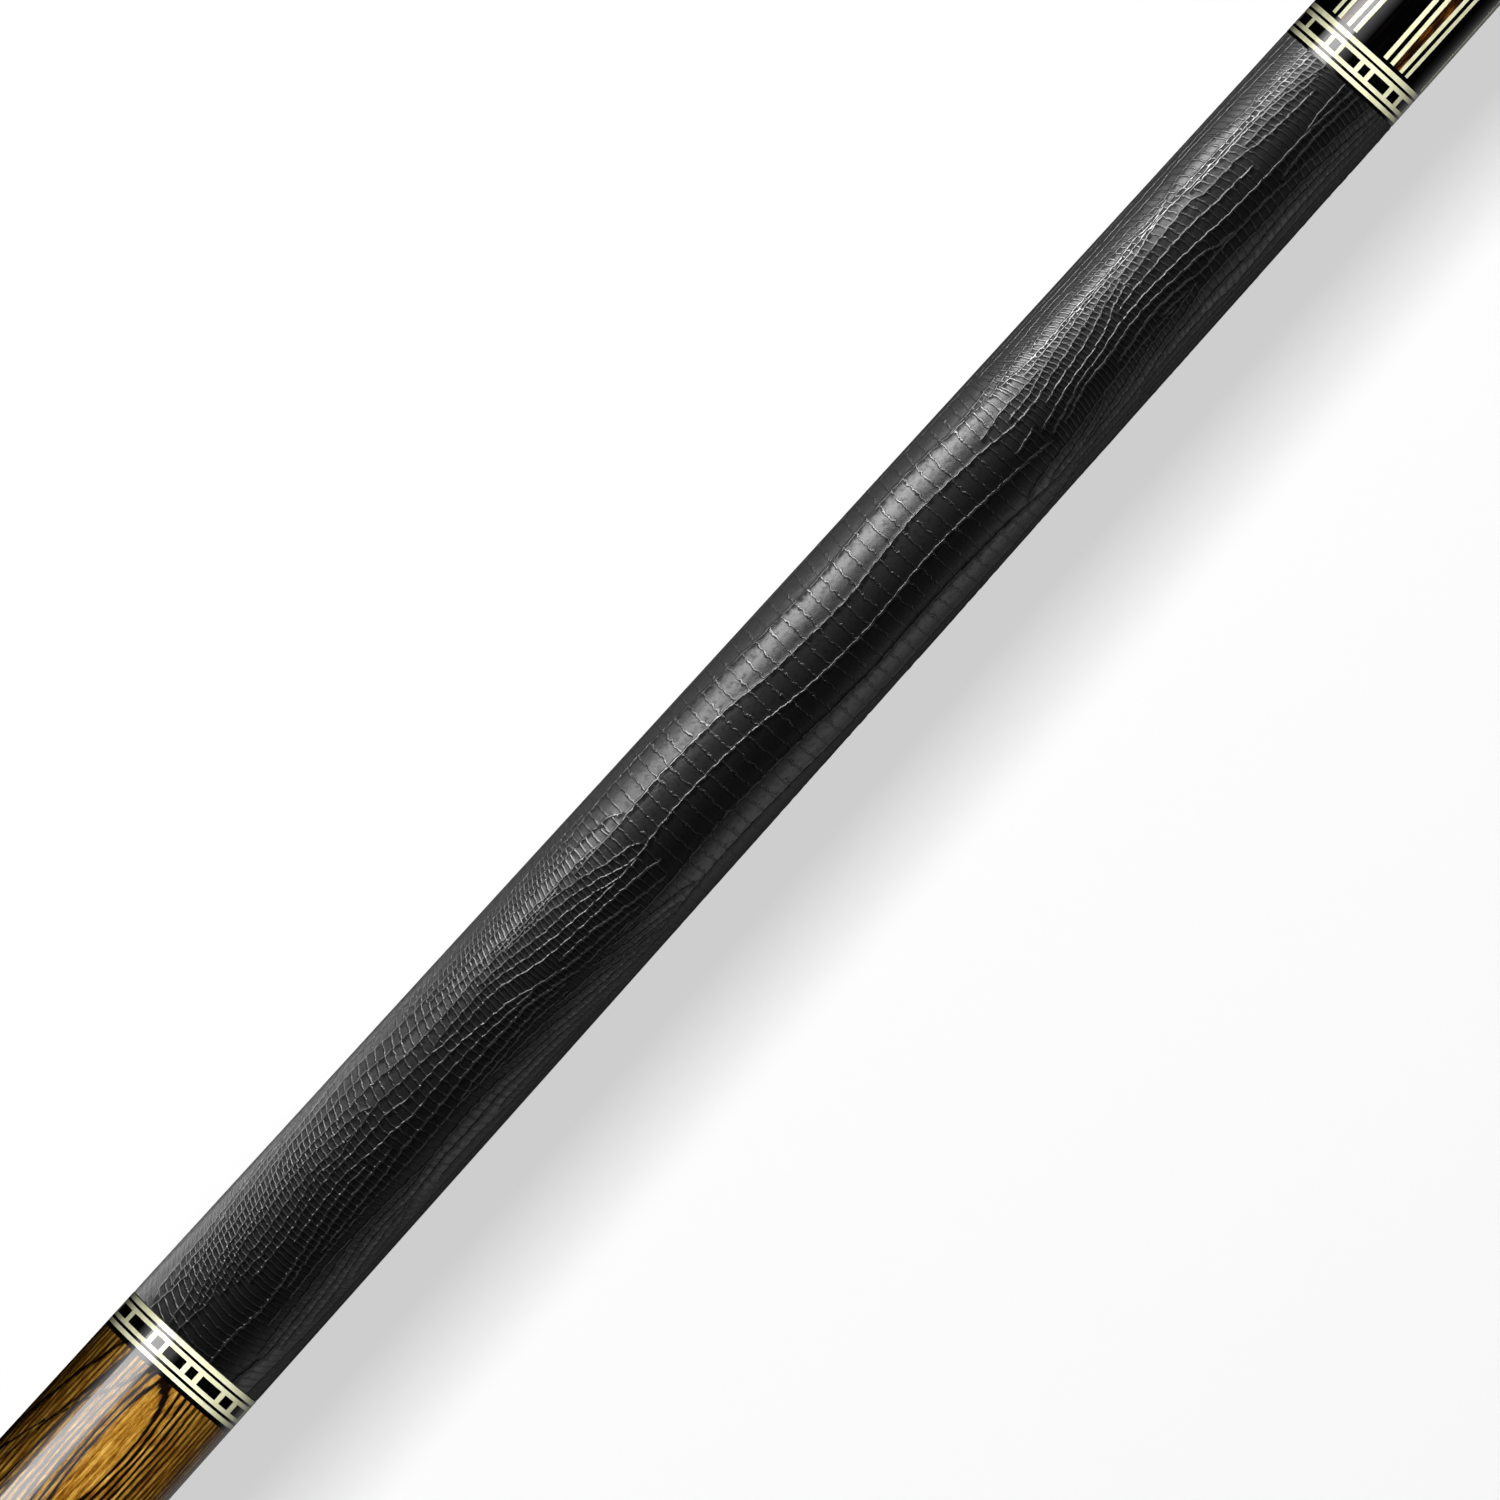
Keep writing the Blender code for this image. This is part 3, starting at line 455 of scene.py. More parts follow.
# Ridges of the skin, each from end to end as station and angle. Angles are in degrees
# round the cue from straight up, and grow towards -Y.
FRONT_RIDGES = [
    [(144, -46), (147, -44), (150, -42), (154, -41.5), (157, -41.7), (160, -44), (165, -47.5),
     (170, -51), (175, -54.5), (178, -57), (180, -59), (184, -60), (190, -62), (195, -66),
     (200, -70), (204, -69), (212, -68), (216, -66), (220, -64), (230, -63.5), (240, -63),
     (250, -62), (262, -61.5)],
    [(150, -45), (152, -47.5), (155, -48.3), (160, -49), (163, -52), (165, -54.5), (170, -58.5),
     (176, -63), (183, -66), (190, -70), (198, -75)],
    [(146, -48), (148, -53), (151, -54.5), (154, -56), (158, -56), (162, -57.5), (166, -60),
     (170, -63), (177, -68), (184, -71), (192, -76)],
    [(144, -22), (146.2, -26.3), (149, -27), (151, -28.5), (153, -31.5), (156, -36), (159, -38.5),
     (162, -40), (166, -41), (170, -44), (172.5, -46.5), (175, -48.5), (178, -52), (181, -53),
     (185, -53.5), (190, -54.5), (195, -57), (200, -58.5), (203, -57), (206, -55.5), (209, -53),
     (212, -52.5), (215, -51), (222, -50), (230, -50), (240, -49.5), (250, -48), (258, -49)],
    [(148.5, -18.5), (151, -21), (154, -24.5), (157, -28.5), (160, -30.7), (165, -33.2),
     (170, -37), (174, -40), (176.5, -43), (178, -46), (180, -50), (182, -53)],
    [(178.5, -42), (182, -44.5), (185, -45.3), (190, -45.5), (195, -46.7), (199, -46), (202, -45),
     (205, -42.5), (208, -41), (212, -40), (216, -39.5), (220, -38), (224, -37), (230, -35.5),
     (236, -34), (242, -33.5), (247, -31.5), (255, -31), (258, -29.5), (260, -28)],
    [(150.5, -16.5), (153, -19), (155, -21), (158, -24), (160, -25.5), (163, -27.5), (166, -29),
     (170, -31.3), (175, -35), (180, -36.5), (185, -37.5), (190, -36), (195, -35), (199, -34.5),
     (203, -32.5), (206, -30.3), (210, -28.5), (215, -28), (220, -28), (226, -29.5), (232, -28.5),
     (238, -26.5), (242, -26), (247, -26.7), (250, -23.3), (253.7, -19.7), (256, -16.2),
     (258.5, -12.8), (261.5, -10.5), (264, -7.8), (265.3, -3)],
    [(144, -17), (148, -16), (150, -15), (152, -13.5), (154, -15.5), (156, -18), (160, -21),
     (165, -25), (170, -26), (175, -29.5), (180, -31), (184, -31.5), (188, -29.5), (192, -27.5),
     (195, -26.7), (196.5, -24.5), (198, -21.5)],
    [(155, -10.8), (157.7, -12.5), (160, -14.5), (163, -16), (166, -16), (170, -17.8),
     (175, -20.8), (180, -23), (185, -21.7), (190, -19.7), (192, -18.5)],
    [(158, -8), (160, -8.8), (166, -8.8), (170, -11), (175, -13), (180, -16.7), (183.5, -17.2),
     (186.5, -14.2), (189, -15), (191, -17.6), (195, -18.3), (198, -20), (200, -20), (203, -18.3),
     (206, -17.5), (210, -16), (212, -15), (214, -13.3), (217, -12.3), (220, -11.7), (225, -12),
     (227.5, -11), (229.5, -10), (231, -8), (233, -5.5), (235, -3), (238, 0), (242, 2.5),
     (247, 4.5), (252, 6.5), (258, 9), (263, 12), (266, 16)],
    [(212, -15.2), (214, -18), (217, -18.8), (221, -18.7), (226, -18.8), (230, -16.3),
     (234, -12.3), (237, -9), (240, -7.2), (243, -4.3), (246, -3.5), (250, -1), (254, 0.5),
     (257, 1)],
    [(226, -23), (230, -22), (235, -18.8), (238, -16), (240, -14.3), (241.5, -12.8), (246, -11.7),
     (249.5, -8.5), (252.5, -5.8), (255, -2.5), (257, 0.5), (260, 1.3), (263, 0.5), (266, -1.3),
     (270, -2.6), (274, -3.5), (280, -3), (285, -2), (290, -0.5), (295, 2), (300, 6), (305, 9.5),
     (310, 11.5), (315, 13), (320, 13.8), (327, 13), (335, 11.2), (340, 11.3), (345, 12.2),
     (350, 14.5), (355, 16.5), (360, 18.8), (364, 21), (368, 23.5)],
    [(234, -25.5), (240, -23.5), (245, -20.8), (247, -18.3), (250.4, -15.8), (253, -12),
     (255.6, -9.2), (258.5, -3.8), (261, -0.8), (263, 0.3)],
    [(160, -2), (165, -2.5), (170, -3.5), (175, -7), (178, -9), (181, -10), (184, -10.5),
     (187, -10), (190, -9.3), (195, -9.5), (199, -10), (201, -7.5), (204, -5.5), (210, -6),
     (216, -5), (220, -3), (225, 0), (228, 1.5), (230, 4), (233, 8), (236, 11.5), (240, 16),
     (244, 18.5), (248, 20.5), (252, 22.5), (257, 26)],
    [(170, 3), (175, 0.5), (180, -1.5), (185, -3), (189, -1), (193, 1.3), (198, 2), (200.5, 4.5),
     (203, 4.5), (207, 3.7), (212, 3.3), (220, 4.3), (225, 6.5), (230, 8.5), (233, 9.5)],
    [(144, 15), (150, 14), (157, 17), (162, 16), (166, 14), (170, 11.5), (175, 8), (180, 5),
     (185, 3.5), (190, 5)],
    [(163, 21), (166, 19.5), (170, 17), (175, 15), (178, 13), (182, 11.5), (186, 10.8), (190, 10),
     (195, 9.7)],
    [(172, 21.5), (176, 20.5), (180, 20), (185, 18.7), (190, 18), (193, 16.5), (196, 15.3),
     (200, 15), (205, 14.7), (210, 13.7), (213, 12.5), (220, 12), (225, 13), (230, 13), (233, 16),
     (236, 19), (238, 20.3), (240.5, 24), (243, 25.2), (247, 26), (251, 28), (255, 29.5)],
    [(239, 9), (243, 9.8), (246, 11.3), (249, 12.7), (251, 15.8), (254, 17.8), (256, 20),
     (258.5, 22), (261, 24), (264, 25.5)],
    [(156, 29), (163, 27), (170, 25), (176, 24.3), (182, 24), (190, 24.5), (197, 25), (203, 24.5),
     (208, 24), (211, 22), (213, 20.5), (220, 20.3), (230, 20), (234, 22), (238, 23.5)],
    [(208, 24), (211, 24.5), (214, 25.5), (220, 25.2), (225, 24), (230, 25), (234, 27.5),
     (237, 28.5)],
    [(150.7, 40.3), (155, 38), (160, 36), (165, 34), (170, 31.8), (175, 31), (179, 32.5)],
    [(144, 37.5), (148, 41), (150, 42.5), (152.5, 46), (156, 45), (160, 43.7), (165, 42),
     (170, 39.5), (174, 36.5), (177.5, 34), (179, 32.7), (184, 33.5), (190, 35), (193, 35.5),
     (196, 37.5), (198, 37.5), (200, 36.7), (203, 35.5), (207, 35), (212, 35), (216, 36),
     (218, 37.5), (220, 39.2), (225, 42.8), (230, 45.3), (233, 48.7), (236, 51.5), (240, 54),
     (245, 58), (250, 61), (258, 64.5)],
    [(155, 52), (160, 51), (165, 49.3), (170, 47.3), (175, 44), (180, 40), (184, 40), (188, 41.2),
     (192, 41.7), (195, 40.3), (197, 38)],
    [(162, 58), (166, 57.5), (170, 55.3), (175, 50), (180, 47), (184, 46.2), (188, 47.5),
     (190, 49.5), (194, 48), (198, 46.3), (200, 45.5), (205, 46.7), (210, 46.3), (213, 45.3),
     (217, 45.7), (220, 47.5), (225, 48.7), (230, 51.7), (235, 56.5), (240, 60)],
    [(173, 60), (177, 57), (180, 55), (183, 52.5), (186, 51.5), (190, 50)],
    [(178, 62), (183, 60), (186, 58), (188, 54.5), (191, 50)],
    [(196, 58), (200, 57), (207, 57.5), (210, 59), (213, 61.5), (216, 63), (222, 64), (230, 65.5),
     (240, 68)],
    [(212, 56), (215, 54.7), (220, 55.5), (225, 56.5), (230, 60), (236, 64), (244, 66.5)],
    [(144, 58), (152, 61), (160, 65), (170, 67), (178, 68), (190, 68.5), (205, 69), (220, 70.5),
     (235, 73)],
    [(216, 27.5), (220, 29), (225, 30), (230, 32), (235, 36), (240, 40), (245, 44.5), (250, 50),
     (256, 54.5)],
    [(218.3, 29), (219.5, 32), (222, 34), (225, 36), (230, 38.7), (235, 43.3), (240, 47.5),
     (245, 51), (250, 55), (254, 58)],
    [(233, 29.5), (235, 30.5), (238, 33), (240, 33.8), (242.5, 34.3), (244, 38), (246, 41),
     (248, 43), (250, 46), (255, 50.5), (258, 54), (260, 56.5)],
    [(242.3, 27.8), (244, 32), (246, 35), (250, 40), (253, 43), (256, 46), (258, 48), (260, 50),
     (262, 53)],
    [(246, 28.5), (248, 30.5), (250, 33.3), (255, 37.2), (258, 40), (261, 43), (263, 44.3),
     (265.5, 48.5), (267, 53)],
    [(250, 30), (254, 30.8), (258, 31.2), (262, 31.5), (266, 31), (270, 30), (275, 29),
     (280, 28.5), (285, 30), (290, 31), (295, 32.7), (300, 34), (305, 37), (310, 38), (315, 40),
     (320, 39.7), (330, 39), (337, 39.3), (342, 40.8), (350, 43), (355, 46.2), (360, 50),
     (364, 52), (367, 50.5), (370, 49), (373, 46), (376, 43.5), (380, 40), (384, 37.5), (387, 35),
     (390, 32.5), (393, 30), (397, 29), (401, 27), (406, 24)],
    [(254, 58), (260, 57), (265, 54.8), (270, 53.7), (275, 53.8), (280, 54.5), (285, 55.8),
     (290, 57.5), (295, 59.5), (300, 62.3), (305, 63.7), (310, 65), (317, 67.3), (330, 66.5),
     (340, 68.3), (350, 69), (357, 67.5), (365, 65)],
    [(253, -26), (257, -27), (260, -26.7), (264, -26.3), (267, -27.5), (270, -28.3), (275, -29.4),
     (280, -28.5), (285, -27.5), (290, -26), (295, -24), (300, -19.5), (305, -17.2), (310, -15.8),
     (315, -14), (321, -12.8), (325, -13.5), (330, -15.5), (335, -16.7), (340, -18), (345, -17),
     (350, -15), (357, -12.2), (362, -8.3), (365, -6.7), (370, -7), (373, -8.8), (375, -11),
     (378, -13), (381, -15), (384, -18), (388, -20.8), (390.6, -24), (395, -26.2), (399, -25.5),
     (403, -27.5), (405, -30), (408, -32.5), (411, -33.5)],
    [(256, -54), (262, -57), (268, -59), (275, -59.5), (282, -58.5), (288, -55.5), (293, -52.5),
     (300, -50), (305, -47.5), (310, -46), (315, -44.7), (321, -43.5), (327, -44.5), (333, -47),
     (340, -48.7), (346, -48.5), (351, -46.5), (355, -43), (359, -41.5), (363, -40), (366, -38.5),
     (369, -41.5), (372, -44), (375, -46), (379, -49.5), (386, -52), (392, -50), (398, -49.5),
     (404, -49.5), (407, -47.5), (409, -45.8), (411, -43.5), (412.5, -42.5), (414, -45),
     (416, -47.5), (419, -50), (423, -50.5), (427, -49.3), (429, -45.8), (432, -43.3), (435, -41),
     (436.5, -43.8), (440, -45.8), (444, -45.3), (450, -43)],
    [(262, -38.7), (264, -39), (265, -35.5), (266, -34.5), (267, -29)],
    [(355, -43.5), (358, -44.3), (362, -44.3), (366, -47), (372, -50)],
    [(358.3, -19), (361, -19.5), (365, -22.8), (370, -21.7), (374, -22.3), (376, -21)],
    [(364.5, -12), (366, -13.3), (370, -13.7), (373, -17), (375, -19.8), (378, -22), (381, -24.7),
     (384, -26.5), (387, -28.3), (390, -30), (395, -31.3), (400, -31.7), (405, -33.5),
     (409, -34.5), (413, -33.5), (418, -31.5), (425, -31.5), (432, -31.5), (438, -29.5),
     (443, -27.5), (450, -25)],
    [(371, 0.5), (373, -1.3), (376, -3.9), (380, -6), (384, -8.5), (386, -10.8), (388, -13),
     (390, -16), (392, -18.3), (395, -20.5), (397, -24)],
    [(360.5, 8.5), (362, 9), (365, 6.7), (367, 5)],
    [(366.8, 12.5), (369, 10), (372, 7.3), (375, 4.5), (378, 2.5), (381, 1.2), (384, 0),
     (386, -1.8), (389, -4.8), (390.5, -8), (392, -11.5), (395.5, -14.7), (397, -17)],
    [(392, -6), (395, -7.5), (397, -9), (401, -8.7), (405, -9.8), (410, -10), (414, -9), (416, -8),
     (418, -6.6), (422, -6), (425, -5), (428, -4)],
    [(396, -17), (400, -18), (405, -20.7), (409, -22), (413, -23.5), (415, -24.3), (416.5, -21.5),
     (418, -19), (421, -18.3), (426, -18), (428.5, -16.5), (430, -14.2), (433, -12.3), (436, -11),
     (440, -9.5), (445, -8.3)],
    [(370.5, 21), (373, 19.3), (375, 16.7), (378, 13.5), (381, 12.3), (385, 11.8), (388, 10.3),
     (391, 8), (396, 7.2), (400, 8.2), (404, 10), (408, 11.2), (410.5, 12.2), (411.6, 15),
     (412.5, 17.2), (415, 18), (418, 20.5)],
    [(367.5, 19.8), (370, 17.3), (373, 14.3), (376, 11), (378, 8.3), (381, 7), (384, 6.3),
     (388, 3), (391, 0.8), (398, 0), (402, 1), (406, 2), (410, 3.3), (414, 5), (416.5, 6.7),
     (420, 7.5), (425, 8.7), (430, 9.2), (436, 9.7), (438, 10), (441, 11), (445, 13), (450, 15)],
    [(438, 9.7), (440, 7.8), (443, 6.5), (450, 7)],
    [(385, 20), (388, 18.7), (391, 17.3), (395, 15), (399, 15.3), (403, 17), (405.5, 18.7),
     (406.5, 21.3), (410, 21), (415, 20.5), (420, 21.2), (425, 22), (428, 23.2), (430, 24.7),
     (434, 26), (438, 28.5), (444, 32), (450, 36)],
    [(396, 21), (400, 22.3), (404, 24)],
    [(428.5, 20), (430, 19), (433, 18), (436, 17.3), (440, 17.3), (445, 19.5), (450, 22)],
    [(355.5, 46), (357.5, 40.5), (360, 38), (364, 35.7), (370, 34), (373, 32.3), (376, 30.3),
     (380, 28.5), (385, 26.8), (390, 25), (395, 24.5), (400, 25)],
    [(361, 49), (362, 47), (364, 44.7), (368, 43), (372, 40), (376, 36.7), (378, 33.5),
     (379.5, 30)],
    [(370, 50.5), (376, 48), (380, 46.8), (383, 45.5), (387, 42.5), (390, 40.2), (394, 37.8),
     (399, 36), (403, 33), (406, 31), (412, 31.3), (416, 32), (420, 33.7), (425, 34), (430, 34),
     (434, 36), (438, 39), (442, 41.5), (446, 44), (450, 47)],
    [(366, 56), (372, 56), (378, 55), (382, 54), (385, 52.5), (387, 50.7), (390, 47.5), (393, 45),
     (397, 44), (402, 43.3), (408, 42.5), (412, 43.7), (415, 44.8), (418, 43.8), (423, 43),
     (428, 42.5), (431, 43.7), (436, 45), (441, 48), (450, 52)],
    [(384, 57), (390, 54), (395, 53.2), (401, 52.7), (406, 54), (410, 56.8), (414, 56.2),
     (418, 54.8), (424, 53.3), (430, 52.5), (436, 52.7), (442, 55), (450, 58)],
    [(363, 64), (367, 61.7), (375, 62), (384, 62.5), (392, 60.5), (400, 60), (408, 61),
     (414, 62.5), (420, 62.8), (430, 62), (440, 63), (450, 65)],
    [(376, 68), (384, 68), (392, 66.5), (400, 66.5), (408, 67.5), (414, 69), (420, 67.5),
     (430, 68), (450, 71)],
    [(376, -39), (378, -42), (380, -43.7), (383, -45.3), (388, -44), (394, -43.5), (400, -44),
     (403, -42), (406, -40), (410, -39.5), (413, -40)],
    [(368, -38), (374, -34), (380, -33.5), (388, -35.5), (396, -34.5), (400, -35.7), (403, -38),
     (405, -37.5), (407, -35.8), (410, -37), (412, -39.5)],
    [(372, -28.5), (377, -29.5), (383, -31), (388, -32.5), (394, -33)],
    [(416, -29.5), (420, -28.8), (430, -29), (436, -27.5), (440, -25.5), (444, -21.5), (450, -15)],
    [(429, -20.3), (434, -20.5), (438, -19), (442, -17), (447, -14.5)],
    [(413, -38), (418, -36.5), (424, -36), (430, -35.5), (436, -36), (442, -34), (450, -31)],
    [(436, -40), (441, -39), (450, -37)],
    [(372, -55), (378, -57), (384, -59.5), (390, -58.5), (396, -58), (404, -58.5), (408, -57.5),
     (413, -58.5), (417, -62), (424, -62.5), (434, -60.5), (442, -58), (450, -56)],
    [(366, -66), (372, -65), (380, -66.5), (388, -65.5), (396, -65), (404, -66), (414, -68),
     (428, -69), (440, -67), (450, -66)],
    [(214, -58), (220, -57), (230, -57), (240, -56), (250, -55), (257, -55)],
    [(218, -45.5), (224, -43.5), (232, -44), (240, -43), (250, -42), (258, -42), (262, -40)],
    [(232, -31.5), (238, -30), (244, -29), (249, -28.5)],
    [(144, -78), (165, -76), (190, -79), (230, -76), (265, -79), (300, -75), (330, -76),
     (352, -72), (375, -73), (400, -74), (415, -77), (450, -75)],
    [(144, 76), (170, 78), (200, 76), (240, 79), (262, 77)],
    [(366, 76), (400, 77), (425, 75), (450, 77)],
]

# length of a scale along the cue, by station
SCALE_LENGTHS = [
    (144, 1.9), (152, 1.5), (158, 1.2), (166, 1.1), (180, 1.15), (190, 1.35), (196, 1.8), (203, 2.0),
    (212, 2.0), (218, 1.6), (224, 1.2), (235, 1.0), (250, 1.05), (258, 1.4), (264, 2.2), (270, 3.0),
    (290, 3.3), (320, 3.3), (345, 3.2), (356, 3.0), (362, 1.9), (368, 1.3), (376, 1.0), (390, 1.1),
    (400, 1.4), (408, 1.8), (420, 1.9), (430, 1.7), (436, 1.3), (450, 1.0)]
BACK_MIDDLE = 297.0         # the unseen side has the same skin, turned end for end about this station
BACK_TURN = 172.0


def skin_ridges(stations):
    """Angle of every ridge at every station, and how high it stands there, from 0 to 1."""
    whole = [sorted(r) for r in FRONT_RIDGES]
    whole += [sorted((2 * BACK_MIDDLE - s, a + BACK_TURN) for s, a in r) for r in FRONT_RIDGES]
    step = stations[1] - stations[0]
    reach = np.arange(-3, 4) * step
    kernel = np.exp(-(reach / 0.9) ** 2)
    angles, heights = [], []
    for number, ridge in enumerate(whole):
        at, angle = np.array(ridge).T
        line = np.interp(stations, at, angle)
        padded = np.pad(line, 3, mode="edge")
        line = np.convolve(padded, kernel / kernel.sum(), mode="valid")
        line += 0.35 * np.sin(stations * 1.9 + number * 2.4) + 0.25 * np.sin(stations * 4.3 + number)
        left, right = at[0], at[-1]
        left_end = left if left > WRAP_START + 1 else left - 9
        right_end = right if right < WRAP_END - 1 else right + 9
        height = np.clip((stations - left_end) / 1.2, 0, 1) * np.clip((right_end - stations) / 1.2, 0, 1)
        height[(stations < left_end) | (stations > right_end)] = -1
        angles.append(line)
        heights.append(height)
    return np.array(angles), np.array(heights)


def rows_of_scales(station, angle, at_station, at_angle, table):
    """For points given by their own row (station, angle), the ridges above and below them, measured
    at (at_station, at_angle): distances in millimetres, heights, and the number of the row."""
    stations, angles, heights = table
    step = stations[1] - stations[0]
    column = np.clip(np.round((station - stations[0]) / step).astype(int), 0, len(stations) - 1)
    order = np.argsort(column, kind="stable")
    above = np.zeros((len(station), 3))
    below = np.zeros((len(station), 3))
    where = (at_station - stations[0]) / step
    low = np.clip(where.astype(int), 0, len(stations) - 2)
    part = np.clip(where - low, 0, 1)
    edges = np.searchsorted(column[order], np.arange(len(stations) + 1))
    for c in range(len(stations)):
        picked = order[edges[c]:edges[c + 1]]
        if not len(picked):
            continue
        live = np.nonzero(heights[:, c] >= 0)[0]
        there = angles[live, c]
        wrapped = (there + 180) % 360 - 180
        turns = wrapped - there
        rank = np.argsort(wrapped)
        live, wrapped, turns = live[rank], wrapped[rank], turns[rank]
        ids = np.concatenate([live[-1:], live, live[:1]])
        spots = np.concatenate([wrapped[-1:] - 360, wrapped, wrapped[:1] + 360])
        turns = np.concatenate([turns[-1:] - 360, turns, turns[:1] + 360])
        k = np.searchsorted(spots, angle[picked]) - 1
        k = np.clip(k, 0, len(spots) - 2)
        for side, index in ((above, k), (below, k + 1)):
            r = ids[index]
            a = (angles[r, low[picked]] * (1 - part[picked]) + angles[r, low[picked] + 1] * part[picked]
                 + turns[index])
            h = heights[r, low[picked]] * (1 - part[picked]) + heights[r, low[picked] + 1] * part[picked]
            side[picked, 0] = a
            side[picked, 1] = np.clip(h, 0, 1)
            side[picked, 2] = r
    radius = butt_radius(at_station)
    from_above = (at_angle - above[:, 0]) * np.pi / 180 * radius
    from_below = (below[:, 0] - at_angle) * np.pi / 180 * radius
    return from_above, from_below, above[:, 1], below[:, 1], above[:, 2]


def make_wrap():
    """The leather: a sleeve of fine squares whose ridges and scales follow the skin."""
    deselect()
    along_count, round_count = 423, 230
    bpy.ops.mesh.primitive_grid_add(x_subdivisions=along_count, y_subdivisions=round_count, size=2)
    piece = bpy.context.object
    piece.name = "leather_grip"
    mesh = piece.data
    count = len(mesh.vertices)
    flat = np.empty(count * 3)
    mesh.vertices.foreach_get("co", flat)
    flat = flat.reshape(-1, 3)
    station = WRAP_START + (flat[:, 0] + 1) / 2 * (WRAP_END - WRAP_START)
    angle = flat[:, 1] * 180
    rounded = np.column_stack([(station - JOINT_FACE) * MM,
                               -np.sin(np.radians(angle)) * butt_radius(station) * MM,
                               AXIS + np.cos(np.radians(angle)) * butt_radius(station) * MM])
    mesh.vertices.foreach_set("co", rounded.ravel())
    bpy.ops.object.mode_set(mode="EDIT")
    bpy.ops.mesh.select_all(action="SELECT")
    bpy.ops.mesh.remove_doubles(threshold=1e-6)
    bpy.ops.mesh.normals_make_consistent(inside=False)
    bpy.ops.object.mode_set(mode="OBJECT")

    count = len(mesh.vertices)
    place = np.empty(count * 3)
    mesh.vertices.foreach_get("co", place)
    place = place.reshape(-1, 3)
    station = place[:, 0] / MM + JOINT_FACE
    angle = np.degrees(np.arctan2(-place[:, 1], place[:, 2] - AXIS))
    stations = np.linspace(WRAP_START, WRAP_END, along_count * 2 + 1)
    table = (stations, *skin_ridges(stations))

    # relief: the ridges stand up, and each row of scales falls behind one and rises to the next
    d1, d2, a1, a2, row = rows_of_scales(station, angle, station, angle, table)
    width = np.maximum(d1 + d2, 0.3)
    big = np.clip(width / 5.0, 0.25, 1.0)
    relief = 0.07 * big * (a1 * np.exp(-(d1 / 0.4) ** 2) + a2 * np.exp(-(d2 / 0.4) ** 2))
    relief -= 0.10 * big * (d1 / width - 0.5) * np.minimum(a1, a2)
    edge = np.clip(np.minimum(station - WRAP_START, WRAP_END - station) / 0.8, 0, 1)
    relief = relief * edge - 0.06 * (1 - edge)
    radius = (butt_radius(station) + relief) * MM
    place[:, 1] = -np.sin(np.radians(angle)) * radius
    place[:, 2] = AXIS + np.cos(np.radians(angle)) * radius
    mesh.vertices.foreach_set("co", place.ravel())

    # the same distances on every face's own corners, for the material
    faces = len(mesh.polygons)
    corner_vertex = np.empty(len(mesh.loops), dtype=np.int32)
    mesh.loops.foreach_get("vertex_index", corner_vertex)
    totals = np.empty(faces, dtype=np.int32)
    mesh.polygons.foreach_get("loop_total", totals)
    face_of = np.repeat(np.arange(faces), totals)
    s = station[corner_vertex]
    first = angle[corner_vertex[np.cumsum(totals) - totals]][face_of]
    a = first + (angle[corner_vertex] - first + 180) % 360 - 180
    middle_s = (np.bincount(face_of, s) / totals)[face_of]
    middle_a = (np.bincount(face_of, a) / totals)[face_of]
    turned_by = (middle_a + 180) % 360 - 180 - middle_a
    d1, d2, a1, a2, row = rows_of_scales(middle_s, middle_a + turned_by, s, a + turned_by, table)
    steps = np.linspace(WRAP_START - 20, WRAP_END + 20, 4000)
    lengths = np.interp(steps, *np.array(SCALE_LENGTHS).T)
    count_along = np.concatenate([[0], np.cumsum((steps[1:] - steps[:-1]) / lengths[1:])])
    # the lines between scales lean one way at the butt's end and the other way at the forearm's
    toward = np.radians(a + turned_by)
    way = np.interp(s, [144, 250, 262, 362, 372, 450], [1.0, 0.8, 0.12, 0.12, -1.0, -1.0])
    lean = way * (0.03 - 0.33 * np.sin(toward))
    slid = s + lean * (d1 - d2)
    cells = np.interp(slid, steps, count_along) + (row * 0.618) % 1 * 3
    size = np.interp(s, *np.array(SCALE_LENGTHS).T)
    # what the leather's material reads: row holds both distances, ridge both heights, and scale the
    # place in the row, the scale's length and the row's width
    for name, values in (("row", (d1, d2, row % 17 / 17)), ("ridge", (a1, a2, cells * 0)),
                         ("scale", (cells, size, d1 + d2))):
        layer = mesh.attributes.new(name, "FLOAT_VECTOR", "CORNER")
        layer.data.foreach_set("vector", np.column_stack(values).astype(np.float32).ravel())
    mesh.shade_smooth()
    return piece


# ---------------------------------------------------------------- what the CAD gives

for name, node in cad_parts.items():
    wear(node, {"handle_core": maple, "shaft_insert": brass, "a_joint_stud": steel,
                "weight_bolt": steel, "joint_pin": steel}.get(name, black))

# ---------------------------------------------------------------- rings

# Cream bars of the block ring: where each starts and ends, in degrees from the top towards -Y.
# Long and short black blocks take turns between them.
SEEN_BARS = [(-59.0, -53.7), (-29.7, -25.4), (-17.6, -14.1), (2.9, 7.0), (14.0, 18.2), (37.3, 42.0),
             (52.6, 58.6)]
BAR, LONG_BLOCK, SHORT_BLOCK = 4.5, 17.6, 6.77    # the unseen ones, spaced to make 20 bars
BLOCK_WIDTH = 2.03
RING_BORE = 9.6
STACK = [("cream_1", 0.86), ("black_1", 0.55), ("toothed", 0.82), ("blocks", BLOCK_WIDTH), ("cream_2", 0.84),
         ("black_2", 0.51), ("cream_3", 0.99)]

bars, reached = list(SEEN_BARS), SEEN_BARS[-1][1]
for number in range(13):
    reached += SHORT_BLOCK if number % 2 else LONG_BLOCK
    bars.append((reached, reached + BAR))
    reached += BAR


